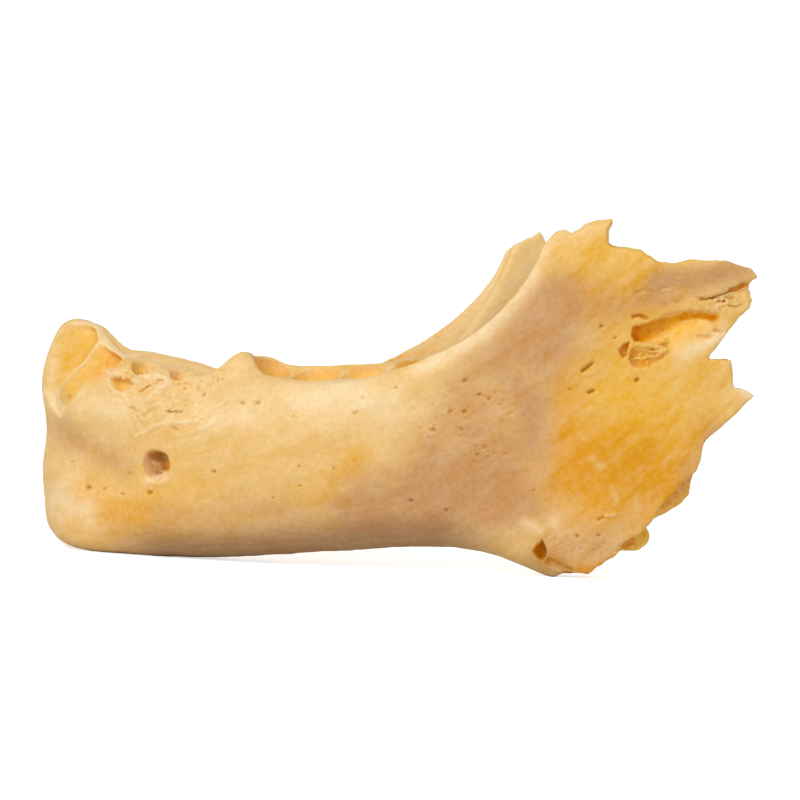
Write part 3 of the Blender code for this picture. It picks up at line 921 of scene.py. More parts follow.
@dataclass(frozen=True)
class Openings:
    """Hollows with a sharp rim in the left cheek side, as the side view shows them."""

    shapes: tuple[Opening, ...] = (
        # canine crypt and two gaps between the flakes of plate behind it
        Opening(((-32.7, 20.8), (-32.1, 21.2), (-31.2, 21.2), (-30.9, 20.9), (-30.2, 21.1), (-29.6, 20.6),
                 (-29.7, 20.2), (-30.3, 19.8), (-31.1, 19.3), (-31.6, 19.5), (-32.3, 19.8)),
                (-31.5, 20.9, 1.2), (-30.8, 19.6, 0.8)),
        Opening(((-29.3, 19.4), (-28.7, 20.0), (-27.6, 20.4), (-27.5, 20.1), (-28.2, 19.6), (-28.9, 19.2)),
                (-28.6, 20.1, 0.7), (-28.6, 19.3, 0.4)),
        Opening(((-27.5, 20.5), (-26.9, 21.0), (-26.3, 21.1), (-26.4, 20.7), (-27.1, 20.3)),
                (-27.0, 21.0, 0.6), (-27.0, 20.3, 0.3)),
        # pocket in the ramus where the outer plate is lost, its chambers, and the split tip
        Opening(((27.2, 27.7), (27.4, 28.8), (28.6, 29.2), (29.7, 29.6), (31.0, 30.0), (32.1, 30.0),
                 (33.0, 30.6), (34.1, 31.0), (35.2, 30.9), (36.3, 30.6), (37.2, 30.2), (37.2, 29.8),
                 (36.4, 28.9), (35.0, 27.2), (33.2, 26.1), (31.6, 25.9), (30.9, 26.5), (29.4, 26.9),
                 (27.6, 27.0)), (30.6, 29.6, 2.0), (33.4, 26.4, 0.1)),
        Opening(((27.3, 26.6), (29.2, 26.7), (31.0, 26.5), (31.9, 25.8), (30.8, 25.0), (29.4, 24.1),
                 (27.9, 24.2), (26.9, 25.0), (27.0, 25.9)), (28.3, 25.6, 1.2), (31.6, 25.9, 0.5), 0.35),
        Opening(((25.9, 26.0), (26.5, 26.8), (27.2, 27.3), (27.1, 26.1), (26.9, 25.4), (26.3, 25.3)),
                (26.9, 26.9, 1.5), (26.4, 25.6, 1.1)),
        Opening(((34.9, 32.0), (36.3, 32.1), (37.6, 32.6), (38.9, 33.2), (41.6, 34.2), (42.0, 32.0),
                 (39.6, 30.8), (38.0, 31.3), (36.4, 31.5)), (39.5, 33.4, 0.6), (38.6, 31.2, 0.15)),
        # drop-shaped hole over the lower border
        Opening(((17.7, 4.5), (18.1, 3.7), (18.3, 3.0), (18.1, 2.3), (17.55, 1.85), (17.0, 2.3),
                 (16.65, 2.95), (17.0, 3.65)), (18.0, 3.6, 2.6), (17.5, 2.2, 2.2)),
    )
    hollows: tuple[Mark, ...] = (
        # in the ramus: the pocket's deepest part, the split over it, and cracks round it
        Mark(((31.0, 29.5), (33.3, 30.0), (35.2, 30.3), (36.6, 30.0)), 0.5, -1.6, 3.0),
        Mark(((35.0, 32.1), (36.3, 32.2), (37.6, 32.8), (38.8, 33.3)), 0.16, -1.0),
        Mark(((38.4, 33.2), (39.6, 33.7), (41.0, 34.2)), 0.28, -1.3, 3.0),
        Mark(((36.9, 31.8), (37.8, 31.9)), 0.16, -0.7),
        Mark(((38.2, 31.5), (39.2, 31.4)), 0.18, -0.7),
        Mark(((37.9, 32.3), (38.9, 32.5)), 0.14, -0.7),
        Mark(((27.5, 30.0), (28.2, 30.2), (29.0, 29.8)), 0.17, -0.7),
        Mark(((34.9, 27.9), (36.0, 27.7)), 0.3, -0.5),
        Mark(((36.7, 28.5), (37.4, 28.3)), 0.2, -0.5),
        # by the lower border: a hollow in the lobe, and one under a flake
        Mark(((27.7, 4.3), (27.2, 3.9)), 0.4, -0.9, 3.0),
        Mark(((18.6, 1.8), (19.6, 1.4), (20.9, 0.9)), 0.34, -0.6, 3.0),
        # mental foramen and its canal
        Mark(((-26.85, 11.15), (-26.8, 10.75)), 1.42, -0.85, 6.0),
        Mark(((-27.2, 11.95), (-26.3, 11.8), (-26.0, 11.0)), 0.75, -2.4, 4.0),
        # beside the midline, and between the fibres over the premolars
        Mark(((-39.0, 18.3), (-39.0, 17.9)), 0.16, -0.5),
        Mark(((-29.9, 17.3), (-29.7, 17.0)), 0.3, -0.5),
        Mark(((-25.5, 17.3), (-24.0, 17.4)), 0.22, -0.45),
        Mark(((-24.9, 15.5), (-24.4, 15.4)), 0.22, -0.45),
    )
    # Strands of spongy bone left standing in the pocket
    strands: tuple[Mark, ...] = (
        Mark(((27.4, 27.4), (27.3, 26.7), (27.2, 26.0), (27.1, 25.2)), 0.2, 1.1),
        Mark(((27.6, 27.0), (28.4, 27.0), (29.2, 26.8), (30.4, 27.0), (31.2, 27.3)), 0.34, 0.9),
        Mark(((27.3, 26.4), (28.0, 26.2), (28.7, 26.3), (29.7, 26.0), (30.8, 26.1)), 0.24, 0.75),
        Mark(((27.2, 24.9), (27.9, 25.2), (28.6, 25.1), (29.4, 25.4), (30.1, 25.4), (31.2, 26.2)),
             0.22, 0.8),
        Mark(((28.8, 26.2), (28.5, 25.6), (28.3, 25.1)), 0.2, 0.6),
        Mark(((30.2, 26.8), (30.1, 26.0)), 0.2, 0.5),
        Mark(((29.2, 24.9), (29.0, 24.3)), 0.2, 0.6),
    )
    # Offsets between which the body and a ramus are thinned
    thinned: tuple[Pair, Pair] = ((-2.6, 2.2), (-0.5, 1.5))

    def depth(self, bone: BonePoints) -> np.ndarray:
        """Work out how deep the openings press the left cheek side in.

        Args:
            bone: The worn surface's points.

        Returns:
            Depths at the points, in millimetres.
        """
        deep = np.zeros(len(bone.points))
        near = np.flatnonzero(bone.left)
        deepest = np.zeros(len(near))
        for shape in self.shapes:
            deepest = np.minimum(deepest, shape.strength(bone.side[near]))
        deepest = np.minimum(deepest, marks_read(self.hollows, bone.side[near], np.minimum))
        deep[near] = np.maximum(-deepest - marks_read(self.strands, bone.side[near], np.maximum), 0.0)
        return deep

    def shift(self, bone: BonePoints) -> np.ndarray:
        """Work out how far inwards each point moves."""
        tongue, cheek = (body + (ramus - body) * bone.rami for body, ramus in zip(*self.thinned))
        return self.depth(bone) * smooth_step(0.0, 1.0, (bone.offset - tongue) / (cheek - tongue))


@dataclass(frozen=True)
class Grain:
    """A patch of fine ridges that run one way."""

    line: Line          # middle of the patch
    radius: float
    height: float       # of the ridges
    slope: float        # angle of the ridges, in degrees up to the rear
    length: float
    width: float
    seed: int
    edge: float = 3.0   # how steeply the patch ends, as a mark's edge

    FAINTEST = 0.002    # height under which the ridges are left out

    def pattern(self, run: np.ndarray) -> np.ndarray:
        """Read the ridges.

        Args:
            run: Places along and across the ridges, as shares of their length and width.

        Returns:
            Heights, about from -1 to 1.
        """
        ridges = 1.0 - 2.0 * np.abs(soft_noise(run, 1.0, self.seed))
        return ridges + 0.5 * soft_noise(run, 0.45, self.seed + 1)

    def rise(self, bone: BonePoints) -> np.ndarray:
        """Work out how high the pattern stands.

        Args:
            bone: The worn surface's points.

        Returns:
            Heights at the points, in millimetres.
        """
        share = Mark(self.line, self.radius, self.height, self.edge).strength(bone.side)
        near = np.flatnonzero(share > self.FAINTEST)
        turn = math.radians(self.slope)
        x, z = bone.points[near, 0], bone.points[near, 2]
        run = np.column_stack([(x * math.cos(turn) + z * math.sin(turn)) / self.length,
                               (z * math.cos(turn) - x * math.sin(turn)) / self.width,
                               bone.points[near, 1] / self.length])
        total = np.zeros(len(bone.points))
        total[near] = share[near] * self.pattern(run)
        return total


class Pores(Grain):
    """A patch of small pores that are drawn out one way."""

    RIM = (0.12, 0.36)  # a pore's floor and rim, as shares of the distance between pores

    def pattern(self, run: np.ndarray) -> np.ndarray:
        """Read the pores: -1 inside one, 0 between them."""
        return smooth_step(*self.RIM, pore_noise(run, 1.0, self.seed)) - 1.0


@dataclass(frozen=True)
class SurfaceRelief:
    """What the surface shows up close: fibres, pits, crumbling rims and spongy bone."""

    # Nutrient pits on the left cheek side: (X, height, radius)
    pit_places: Rows = (
        (-35.1, 7.7, 0.26), (-32.9, 7.9, 0.15), (-30.8, 7.3, 0.17), (-27.7, 7.7, 0.24),
        (-20.0, 10.6, 0.18), (-37.2, 10.7, 0.14), (-29.9, 9.9, 0.14), (-27.7, 10.7, 0.11),
        (-27.2, 10.1, 0.13), (-27.1, 10.7, 0.1), (-26.7, 10.0, 0.12), (-26.5, 10.5, 0.1),
        (-21.6, 16.6, 0.16), (-16.8, 18.8, 0.2), (-15.0, 18.8, 0.22), (-13.1, 7.9, 0.13),
        (-3.8, 18.1, 0.22), (2.7, 8.2, 0.2), (6.8, 7.2, 0.2), (-3.0, 19.8, 0.14), (0.7, 21.1, 0.16),
        (-10.0, 11.6, 0.13), (-10.0, 9.3, 0.13), (-6.1, 11.6, 0.13), (-11.0, 17.5, 0.13),
        (5.0, 16.5, 0.2), (8.5, 22.2, 0.2), (8.2, 16.6, 0.17), (7.0, 18.6, 0.18), (8.6, 18.6, 0.2),
        (10.2, 20.7, 0.18), (11.3, 20.3, 0.17), (10.9, 14.6, 0.18), (10.1, 13.7, 0.17),
        (23.8, 28.7, 0.18), (25.3, 27.4, 0.16), (28.0, 22.7, 0.22), (20.5, 21.5, 0.14),
        (21.6, 4.9, 0.16), (24.0, 5.0, 0.14), (16.5, 10.0, 0.14),
    )
    pit_depth: float = 1.8      # as a share of the pit's radius
    pit_run: Pair = (0.8, 0.3)  # how far it is drawn out backwards and up, as shares of its radius
    # Unevenness of all of the bone, twice, of its skin, and of the left half's skin: (height, width, seed)
    lumps: Rows = ((0.09, 5.0, 21), (0.05, 2.2, 22), (0.03, 1.1, 23), (0.018, 0.55, 24))
    seen: float = 0.05              # facing above which the cheek side has its fine details
    broken: Pair = (0.3, 0.9)       # depths under the old surface where the bone turns spongy
    broken_from: float = 0.2        # share of a ramus above which its broken inside is opened
    pore_size: float = 0.75         # distance between the pores of spongy bone
    pore_wander: Pair = (0.3, 0.8)  # how crooked their rows are, and the width of one bend
    pore_edge: Pair = (0.1, 0.55)   # a pore's floor and rim, as shares of the distance between pores
    pore_depth: float = 0.2
    struts: tuple[float, float, int] = (0.07, 0.5, 32)  # height, width and seed of the struts' unevenness
    marks: tuple[Mark, ...] = (
        # long pits on the ramus, and cracked skin over its pocket
        Mark(((21.8, 23.6), (22.5, 24.0), (23.0, 24.4)), 0.2, -0.42),
        Mark(((22.6, 21.2), (23.1, 21.4)), 0.2, -0.42),
        Mark(((22.4, 23.2), (23.4, 23.7)), 0.2, 0.14),
        Mark(((27.7, 32.7), (28.6, 33.0), (29.7, 32.8)), 0.16, -0.16),
        Mark(((30.5, 33.2), (31.5, 33.5)), 0.16, -0.18),
        Mark(((29.5, 31.8), (31.5, 31.4), (33.2, 31.8)), 0.5, -0.12),
        # raised flake with its slit, and white ridges at the angle
        Mark(((23.8, 6.9), (24.5, 7.2)), 0.16, -0.3),
        Mark(((24.7, 7.4), (26.0, 7.5)), 0.24, 0.2),
        Mark(((16.2, 6.1), (16.9, 5.8), (17.6, 5.1)), 0.4, 0.12),
        Mark(((19.0, 6.0), (19.5, 5.1)), 0.35, 0.1),
        Mark(((31.4, 26.4), (32.9, 27.6), (34.0, 28.5)), 0.26, 0.12),
        # fibres over the premolars
        Mark(((-29.1, 17.7), (-26.9, 19.6), (-25.2, 20.6)), 0.24, 0.24),
        Mark(((-28.4, 17.3), (-26.6, 18.2), (-24.4, 19.6)), 0.22, 0.2),
        Mark(((-27.5, 15.4), (-25.8, 16.1), (-23.4, 16.2), (-21.4, 16.7)), 0.24, 0.2),
        Mark(((-29.2, 14.3), (-27.7, 15.1), (-26.0, 15.9)), 0.22, 0.18),
        Mark(((-24.6, 14.5), (-22.6, 15.1), (-20.0, 16.3)), 0.22, 0.15),
        # crumbling rims, and the rim of the foramen
        Mark(((-33.1, 21.7), (-32.6, 21.4), (-31.5, 21.5)), 0.26, 0.3),
        Mark(((-29.7, 20.7), (-28.9, 21.1), (-27.6, 21.4), (-26.0, 21.3)), 0.22, 0.3),
        Mark(((-33.0, 20.2), (-32.2, 19.5), (-31.0, 19.1)), 0.26, 0.16),
        Mark(((-27.9, 9.2), (-26.6, 9.0), (-25.4, 9.4)), 0.35, 0.16),
    )
    grains: tuple[Grain, ...] = (
        Grain(((-27.0, 18.0), (-20.5, 18.2)), 3.0, 0.12, 29.0, 1.9, 0.4, 71),
        Grain(((-29.0, 18.5), (-23.0, 16.5)), 2.0, 0.1, 24.0, 0.9, 0.34, 89),
        Grain(((-30.0, 18.6), (-28.8, 14.6)), 1.2, 0.12, -62.0, 1.8, 0.36, 72),
        Grain(((-33.2, 21.8), (-26.0, 20.6)), 1.0, 0.2, 10.0, 0.6, 0.42, 73),
        Grain(((-38.0, 10.0), (-32.0, 17.0)), 3.0, 0.03, 75.0, 1.4, 0.5, 90),
        Grain(((5.5, 24.2), (11.0, 28.2), (14.5, 32.5), (17.0, 37.5)), 1.6, 0.06, 52.0, 2.4, 0.36, 91),
        Grain(((-31.5, 13.2), (-29.5, 12.6)), 1.5, 0.07, 75.0, 2.0, 0.45, 74),
        Grain(((-28.0, 2.4), (8.0, 3.6)), 2.4, 0.04, 4.0, 1.6, 0.36, 75),
        Grain(((-20.0, 12.0), (10.0, 15.0)), 6.0, 0.022, 11.0, 3.2, 0.5, 76, 4.0),
        Grain(((20.0, 3.6), (27.0, 3.4)), 2.2, 0.07, 20.0, 0.6, 0.45, 77),
        Grain(((36.0, 31.6), (40.0, 32.0)), 0.9, 0.14, 15.0, 0.7, 0.4, 78),
        Grain(((22.0, 30.0), (30.0, 16.0)), 6.0, 0.022, 60.0, 3.0, 0.5, 79, 4.0),
        Grain(((-37.4, 25.5), (-37.8, 20.0), (-34.0, 23.0)), 1.6, 0.05, 70.0, 1.2, 0.5, 80),
        Grain(((30.0, 34.0), (39.0, 34.4)), 2.0, 0.06, -18.0, 1.8, 0.36, 81),
        Grain(((26.0, 31.5), (34.0, 32.2)), 1.3, 0.07, 8.0, 1.4, 0.5, 82),
        Pores(((-23.6, 20.2), (-19.6, 21.2)), 1.5, 0.32, 25.0, 0.8, 0.62, 83),
        Pores(((-25.0, 18.4), (-20.0, 19.3)), 1.2, 0.22, 25.0, 1.2, 0.6, 84),
        Pores(((5.0, 17.4), (13.5, 18.6)), 3.0, 0.16, 14.0, 1.0, 0.7, 85),
        Pores(((8.5, 13.6), (13.0, 14.6)), 1.6, 0.16, 14.0, 1.0, 0.7, 86),
        Pores(((19.5, 4.6), (25.5, 4.2)), 2.0, 0.1, 30.0, 0.9, 0.8, 87),
        Pores(((36.4, 31.6), (40.4, 31.8)), 0.8, 0.25, 12.0, 0.8, 0.5, 88),
    )

    def displacement(self, bone: BonePoints) -> np.ndarray:
        """Work out how far each point moves out along its normal.

        Args:
            bone: The worn surface's points.

        Returns:
            Distances, in millimetres.
        """
        moved = np.zeros(len(bone.points))
        parts = (1.0, 1.0, bone.skin, bone.skin * bone.left)
        for part, (height, width, seed) in zip(parts, self.lumps):
            moved += part * height * soft_noise(bone.points, width, seed)
        return moved + self.details(bone) + self.spongy(bone)

    def pits(self, side: np.ndarray) -> np.ndarray:
        """Work out the depth of the nutrient pits.

        Args:
            side: Places in the side view.

        Returns:
            Depths, below zero inside a pit.
        """
        back, up = self.pit_run
        pits = [Mark(((x, height), (x + back * radius, height + up * radius)), radius,
                     -self.pit_depth * radius) for x, height, radius in self.pit_places]
        return marks_read(pits, side, np.minimum)

    def details(self, bone: BonePoints) -> np.ndarray:
        """Work out the height of the fine details of the left cheek side.

        Args:
            bone: The worn surface's points.

        Returns:
            Heights at the points, in millimetres, and zero away from that side.
        """
        total = np.zeros(len(bone.points))
        near = np.flatnonzero(bone.left & (bone.facing > self.seen))
        side = bone.side[near]
        total[near] = self.pits(side) + marks_read(self.marks, side)
        for grain in self.grains:
            total[near] += grain.rise(bone)[near]
        return total

    def spongy(self, bone: BonePoints) -> np.ndarray:
        """Open the spongy bone where the rami are broken.

        Args:
            bone: The worn surface's points.

        Returns:
            Heights at the points, in millimetres, below zero in a pore.
        """
        total = np.zeros(len(bone.points))
        inside = np.flatnonzero((bone.buried > self.broken[0]) & (bone.rami > self.broken_from))
        points = bone.points[inside]
        depth = smooth_step(*self.broken, bone.buried[inside])
        throw, bend = self.pore_wander
        wander = throw * np.column_stack([soft_noise(points, bend, seed) for seed in (33, 34, 35)])
        pores = pore_noise(points + wander, self.pore_size, 31)
        total[inside] = -self.pore_depth * depth * (1.0 - smooth_step(*self.pore_edge, pores))
        height, width, seed = self.struts
        total[inside] += height * depth * soft_noise(points, width, seed)
        return total


class BoneTones:
    """Where each tone of the bone lies, as shares from 0 to 1."""

    STAINS = {
        Tone.HONEY: (
            Mark(((22.0, 37.5), (27.0, 32.0), (31.5, 24.0), (33.0, 17.0)), 8.0, 0.75, 4.0),
            Mark(((21.0, 20.0), (30.0, 14.0)), 5.0, 0.6, 3.0),
            Mark(((-36.0, 5.5), (-23.0, 6.5)), 3.2, 0.55),
            Mark(((-8.0, 8.0), (-3.0, 13.5)), 2.0, 0.45),
            Mark(((-33.9, 24.3), (-34.4, 22.4), (-36.4, 19.4)), 1.7, 0.3),
        ),
        Tone.AMBER: (
            Mark(((22.5, 13.5), (27.0, 14.5), (33.0, 13.0)), 4.4, 0.8),
            Mark(((23.0, 10.5), (31.0, 10.5)), 2.4, 0.4),
            Mark(((20.8, 24.0), (20.4, 17.0), (19.6, 11.0)), 2.2, 0.45),
            Mark(((20.5, 31.5), (25.0, 31.0), (28.0, 32.0)), 2.6, 0.55),
            Mark(((19.0, 9.0), (23.0, 7.0), (28.5, 7.4)), 2.8, 0.45),
            Mark(((18.3, 1.6), (21.0, 0.9), (24.5, 1.4)), 0.8, 1.0),
            Mark(((-35.5, 5.0), (-28.0, 4.8)), 2.4, 0.7),
            Mark(((-6.5, 9.0), (-3.5, 12.0)), 1.3, 0.3),
        ),
        Tone.TAN: (
            Mark(((8.2, 13.5), (10.8, 17.5), (13.0, 21.0), (14.8, 24.4), (17.5, 28.0)),
                 6.0, 0.8, 4.0),
            Mark(((17.0, 27.0), (19.0, 31.5), (23.5, 32.0)), 3.2, 0.45),
            Mark(((15.5, 8.0), (16.6, 14.0), (17.0, 18.5)), 2.4, 0.4, 3.0),
            Mark(((-2.5, 8.2), (5.0, 9.0), (13.0, 9.5)), 3.6, 0.75, 3.0),
            Mark(((-25.0, 4.2), (-8.0, 6.4), (0.0, 6.4)), 2.2, 0.5),
            Mark(((6.0, 6.5), (17.0, 6.5)), 2.6, 0.4),
            # painted shade in the hollow of the mental fossa
            Mark(((-38.6, 14.2), (-35.6, 11.8), (-31.6, 11.0)), 2.0, 0.6),
            Mark(((30.0, 33.8), (40.0, 35.2)), 1.7, 0.9),
            Mark(((26.0, 31.7), (31.5, 31.6)), 1.6, 0.5),
            Mark(((19.5, 3.4), (25.0, 4.2)), 2.2, 0.6),
            Mark(((34.0, 12.5), (37.0, 17.0)), 1.4, 0.6),
        ),
        Tone.UMBER: (
            Mark(((17.5, 1.0), (20.0, 0.4)), 1.6, 0.3),
        ),
        Tone.CREAM: (
            Mark(((-26.0, 21.5), (-14.0, 20.5), (0.0, 20.5)), 2.4, 0.3),
            Mark(((-22.0, 17.5), (-15.0, 17.5)), 2.0, 0.35),
            Mark(((-8.0, 19.0), (3.0, 18.5)), 2.8, 0.45),
            # painted highlight on the canine eminence's bulge
            Mark(((-35.0, 18.5), (-31.5, 18.0)), 2.0, 0.5),
            Mark(((-38.5, 5.5), (-35.0, 5.0)), 2.0, 0.7),
            # painted highlight along the chin's front edge
            Mark(((-40.0, 22.0), (-40.2, 17.0)), 0.8, 0.5),
            # painted highlight along the ramus's front border
            Mark(((4.0, 23.6), (10.5, 27.6), (14.0, 32.0), (16.8, 37.5)), 1.2, 0.7),
            Mark(((33.0, 26.0), (37.0, 28.0)), 1.2, 0.7),
            Mark(((16.2, 6.1), (17.6, 5.1)), 0.7, 0.5),
            Mark(((19.0, 6.0), (19.5, 5.1)), 0.6, 0.45),
            Mark(((19.5, 39.2), (25.0, 40.4)), 1.5, 0.25),
            # painted highlight on the mental foramen's lower rim
            Mark(((-27.9, 9.2), (-25.4, 9.4)), 0.4, 0.7),
            Mark(((40.0, 22.0), (41.2, 21.3)), 0.7, 0.9),
            Mark(((23.0, 13.4), (24.4, 12.8)), 0.4, 0.3),
            Mark(((25.4, 10.6), (25.8, 9.4)), 0.4, 0.3),
            Mark(((28.4, 9.8), (28.7, 8.4)), 0.4, 0.3),
        ),
    }
    STAIN_WANDER = ((0.9, 5.0, 43), (0.3, 1.5, 45))  # throw, width of one bend and seed
    STAIN_RAGS = ((0.2, 2.4, 41), (0.15, 0.9, 42))  # share, width of a lump and seed
    FAR_STAINS = 0.3    # how strong the stains are away from the left cheek side

    # Openings painted with brown shade in place of glow: the mental foramen and the gap over the next
    # tooth
    PAINTED_SHADE_OPENINGS = (
        Mark(((-26.85, 11.15), (-26.8, 10.75)), 1.55, 0.9, 8.0),
        Mark(((0.8, 23.3), (3.0, 23.7), (5.2, 24.6)), 1.0, 1.0, 4.0),
    )
    # Inside walls of the molars' sockets, given painted glow, and of the gap, given painted shade, as
    # (distance along the arch, height)
    PAINTED_GLOW_WALLS = Mark(((31.0, 22.5), (39.5, 22.5)), 2.4, 0.35, 4.0)
    PAINTED_SHADE_GAP = Mark(((47.6, 23.1), (52.4, 24.6)), 1.0, 1.0, 4.0)

    # Depths under the old surface where the spongy inside shows, and where it holds fat
    INSIDE = (0.35, 1.3)
    FATTY = (2.0, 4.0)
    FRONT_BODY = 26.0   # distance along the arch up to which all of the inside holds fat
    # Depths of the openings where their painted glow begins, where it brightens further in, and where they
    # are fat-soaked
    PAINTED_GLOW_DEPTHS = (0.25, 0.6)
    PAINTED_GLOW_BRIGHTER = (0.7, 1.2)
    SOAKED_RAMUS = (1.0, 1.5)
    SOAKED_BODY = (1.6, 2.4)
    WASHED = (0.2, 0.6)     # depths where the weathering ends
    # Heights over the lower border, distances along the arch and X where its brown, painted shade of the
    # underside and grime together, begins and is full
    GRIME_AND_SHADE_HEIGHTS = (5.0, 1.4)
    GRIME_AND_SHADE_FROM = (9.0, 22.0)
    GRIME_AND_SHADE_TO = (18.0, 5.0)

    def __init__(self, bone: BonePoints) -> None:
        """Find the forms that take a tone of their own, and lay the stains.

        Args:
            bone: The finished surface's points.
        """
        self.bone = bone
        self.ragged = 1.0 + sum(share * soft_noise(bone.points, width, seed)
                                for share, width, seed in self.STAIN_RAGS)
        self.deep = Openings().depth(bone)
        self.fine = SurfaceRelief().details(bone)
        opened = bone.left & (bone.offset > -1.0)
        self.front, self.hollow = (np.where(opened, part, 0.0)
                                   for part in FrontBreak().hollows(bone.distance, bone.height))
        self.inside = smooth_step(*self.INSIDE, bone.buried) * (self.front == 0.0)
        self.shares = self.stains()

    def laid(self) -> dict[Tone, np.ndarray]:
        """Lay every tone, each cause over the ones before it.

        Returns:
            Each tone's share at each point, from 0 to 1.
        """
        self.lay_broken_inside()
        self.lay_openings()
        self.lay_front_sockets()
        self.lay_fine_relief()
        self.lay_far_ramus_painted_light()
        self.lay_painted_shade_in_openings()
        self.lay_socket_glow_and_gap_shade()
        self.lay_lower_border_grime_and_shade()
        return {tone: np.clip(share, 0.0, 1.0) for tone, share in self.shares.items()}

    def add(self, mix: dict[Tone, float], where: np.ndarray) -> None:
        """Add tones where something shows.

        Args:
            mix: How strong each tone is there.
            where: How much of it shows at each point.
        """
        for tone, strength in mix.items():
            self.shares[tone] += strength * where

    def hide(self, tones: Iterable[Tone], where: np.ndarray) -> None:
        """Take tones away where something else covers them.

        Args:
            tones: The tones.
            where: How much of them is covered at each point.
        """
        for tone in tones:
            self.shares[tone] *= 1.0 - where

    def stains(self) -> dict[Tone, np.ndarray]:
        """Read the stains.

        Returns:
            Each tone's share at each point.
        """
        bone = self.bone
        cheek = np.where(bone.left, np.maximum(bone.cheek, self.FAR_STAINS), self.FAR_STAINS)
        places = sum(bone.unsteady(*wander) for wander in self.STAIN_WANDER) - bone.points[:, (0, 2)]
        return {tone: marks_read(self.STAINS.get(tone, ()), places) * cheek * self.ragged for tone in Tone}

    def lay_broken_inside(self) -> None:
        """Paint glow into the spongy inside where the bone is broken, colour it honey, and leave fat
        further in.
        """
        # painted glow: lightens the broken inside, which shade would darken
        self.add({Tone.GLOW: 0.5, Tone.HONEY: 0.8}, self.inside)
        self.add({Tone.AMBER: 0.6}, self.inside * smooth_step(*self.FATTY, self.bone.buried))
        self.add({Tone.AMBER: 0.35}, self.inside * (self.bone.distance < self.FRONT_BODY))
        self.hide([Tone.TAN], 0.7 * self.inside)

    def lay_openings(self) -> None:
        """Paint glow into the cheek side's openings, brighter further in, and soak their depths with fat.
        """
        # painted glow in the openings, brighter deeper in
        light = 0.2 + 0.3 * smooth_step(*self.PAINTED_GLOW_BRIGHTER, self.deep)
        self.add({Tone.GLOW: 1.0}, light * smooth_step(*self.PAINTED_GLOW_DEPTHS, self.deep))
        self.add({Tone.DEEP: 1.0}, smooth_step(*self.SOAKED_RAMUS, self.deep) * self.bone.rami
                 + smooth_step(*self.SOAKED_BODY, self.deep))
        self.hide([Tone.TAN], smooth_step(*self.WASHED, self.deep))

    def lay_front_sockets(self) -> None:
        """Colour the opened incisor sockets honey with a little painted glow, more amber deeper in and in
        the second one, and pale the edge between them.
        """
        self.add({Tone.HONEY: 0.6}, smooth_step(0.2, 1.0, self.hollow))
        # a little painted glow in the sockets
        self.add({Tone.GLOW: 0.15}, smooth_step(0.3, 1.6, self.hollow))
        socket_amber = 0.15 + 0.5 * smooth_step(3.0, 6.0, self.bone.distance)
        self.add({Tone.AMBER: 1.0}, socket_amber * smooth_step(0.5, 1.9, self.hollow))
        self.add({Tone.CREAM: 0.5}, (self.front > 0.2) * (self.hollow < 0.25))

    def lay_fine_relief(self) -> None:
        """Lighten what stands out of the surface, and darken its pits and cracks with amber and brown."""
        self.add({Tone.CREAM: 0.5}, smooth_step(0.08, 0.25, self.fine))
        self.add({Tone.AMBER: 0.8}, smooth_step(0.06, 0.22, -self.fine))
        self.add({Tone.UMBER: 0.4}, smooth_step(0.2, 0.4, -self.fine) * self.bone.rami)
        pits = smooth_step(0.1, 0.5, -SurfaceRelief().pits(self.bone.side)) * self.bone.left
        self.add({Tone.AMBER: 1.0, Tone.UMBER: 0.35}, pits)

    def lay_far_ramus_painted_light(self) -> None:
        """Paint light on the far ramus's tongue side, which the near ramus shades."""
        bone = self.bone
        far_ramus_light = ~bone.left * bone.rami * smooth_step(0.1, -0.4, bone.facing)
        # painted light: cream and glow where the near ramus casts shade
        self.add({Tone.CREAM: 0.7, Tone.HONEY: 0.1, Tone.GLOW: 0.3}, far_ramus_light)

    def lay_painted_shade_in_openings(self) -> None:
        """Paint brown shade into the mental foramen and the gap, darker further in."""
        bone = self.bone
        depth = np.maximum(self.deep, bone.buried)
        # painted shade: tan and brown in place of glow, darker further in
        opening_shade = marks_read(self.PAINTED_SHADE_OPENINGS, bone.side) * bone.left * smooth_step(0.1, 0.4, depth)
        self.hide([Tone.GLOW, Tone.DEEP], opening_shade)
        self.add({Tone.TAN: 1.0}, opening_shade)
        further_in = smooth_step(1.0, 2.0, np.maximum(self.deep, 2.0 * bone.buried))
        self.add({Tone.UMBER: 0.6}, opening_shade * further_in)

    def lay_socket_glow_and_gap_shade(self) -> None:
        """Paint amber glow on the walls inside the molars' sockets, and dark amber-brown shade inside the
        gap.
        """
        bone = self.bone
        places = np.column_stack([bone.distance, bone.height])
        wall = bone.left * smooth_step(1.2, 0.4, bone.offset) * smooth_step(-0.1, 0.3, bone.facing)
        # painted shade inside the gap
        gap = wall * self.PAINTED_SHADE_GAP.strength(places)
        self.hide([Tone.CREAM, Tone.GLOW], gap)
        self.add({Tone.AMBER: 1.0, Tone.DEEP: 0.6, Tone.UMBER: 0.6}, gap)
        # painted glow on the molars' socket walls
        self.add({Tone.AMBER: 1.0, Tone.GLOW: 1.0}, wall * self.PAINTED_GLOW_WALLS.strength(places))

    def lay_lower_border_grime_and_shade(self) -> None:
        """Brown the lower border from beside the chin to the foot of the ramus, as painted shade of the
        underside and grime.
        """
        bone = self.bone
        over = bone.height - JawForm.height(Level.BASE, bone.distance) + 0.5 * (self.ragged - 1.0)
        under = smooth_step(*self.GRIME_AND_SHADE_HEIGHTS, over) * smooth_step(*self.GRIME_AND_SHADE_FROM, bone.distance)
        # painted shade of the underside, and grime
        self.add({Tone.UMBER: 0.75}, under * smooth_step(*self.GRIME_AND_SHADE_TO, bone.points[:, 0]))


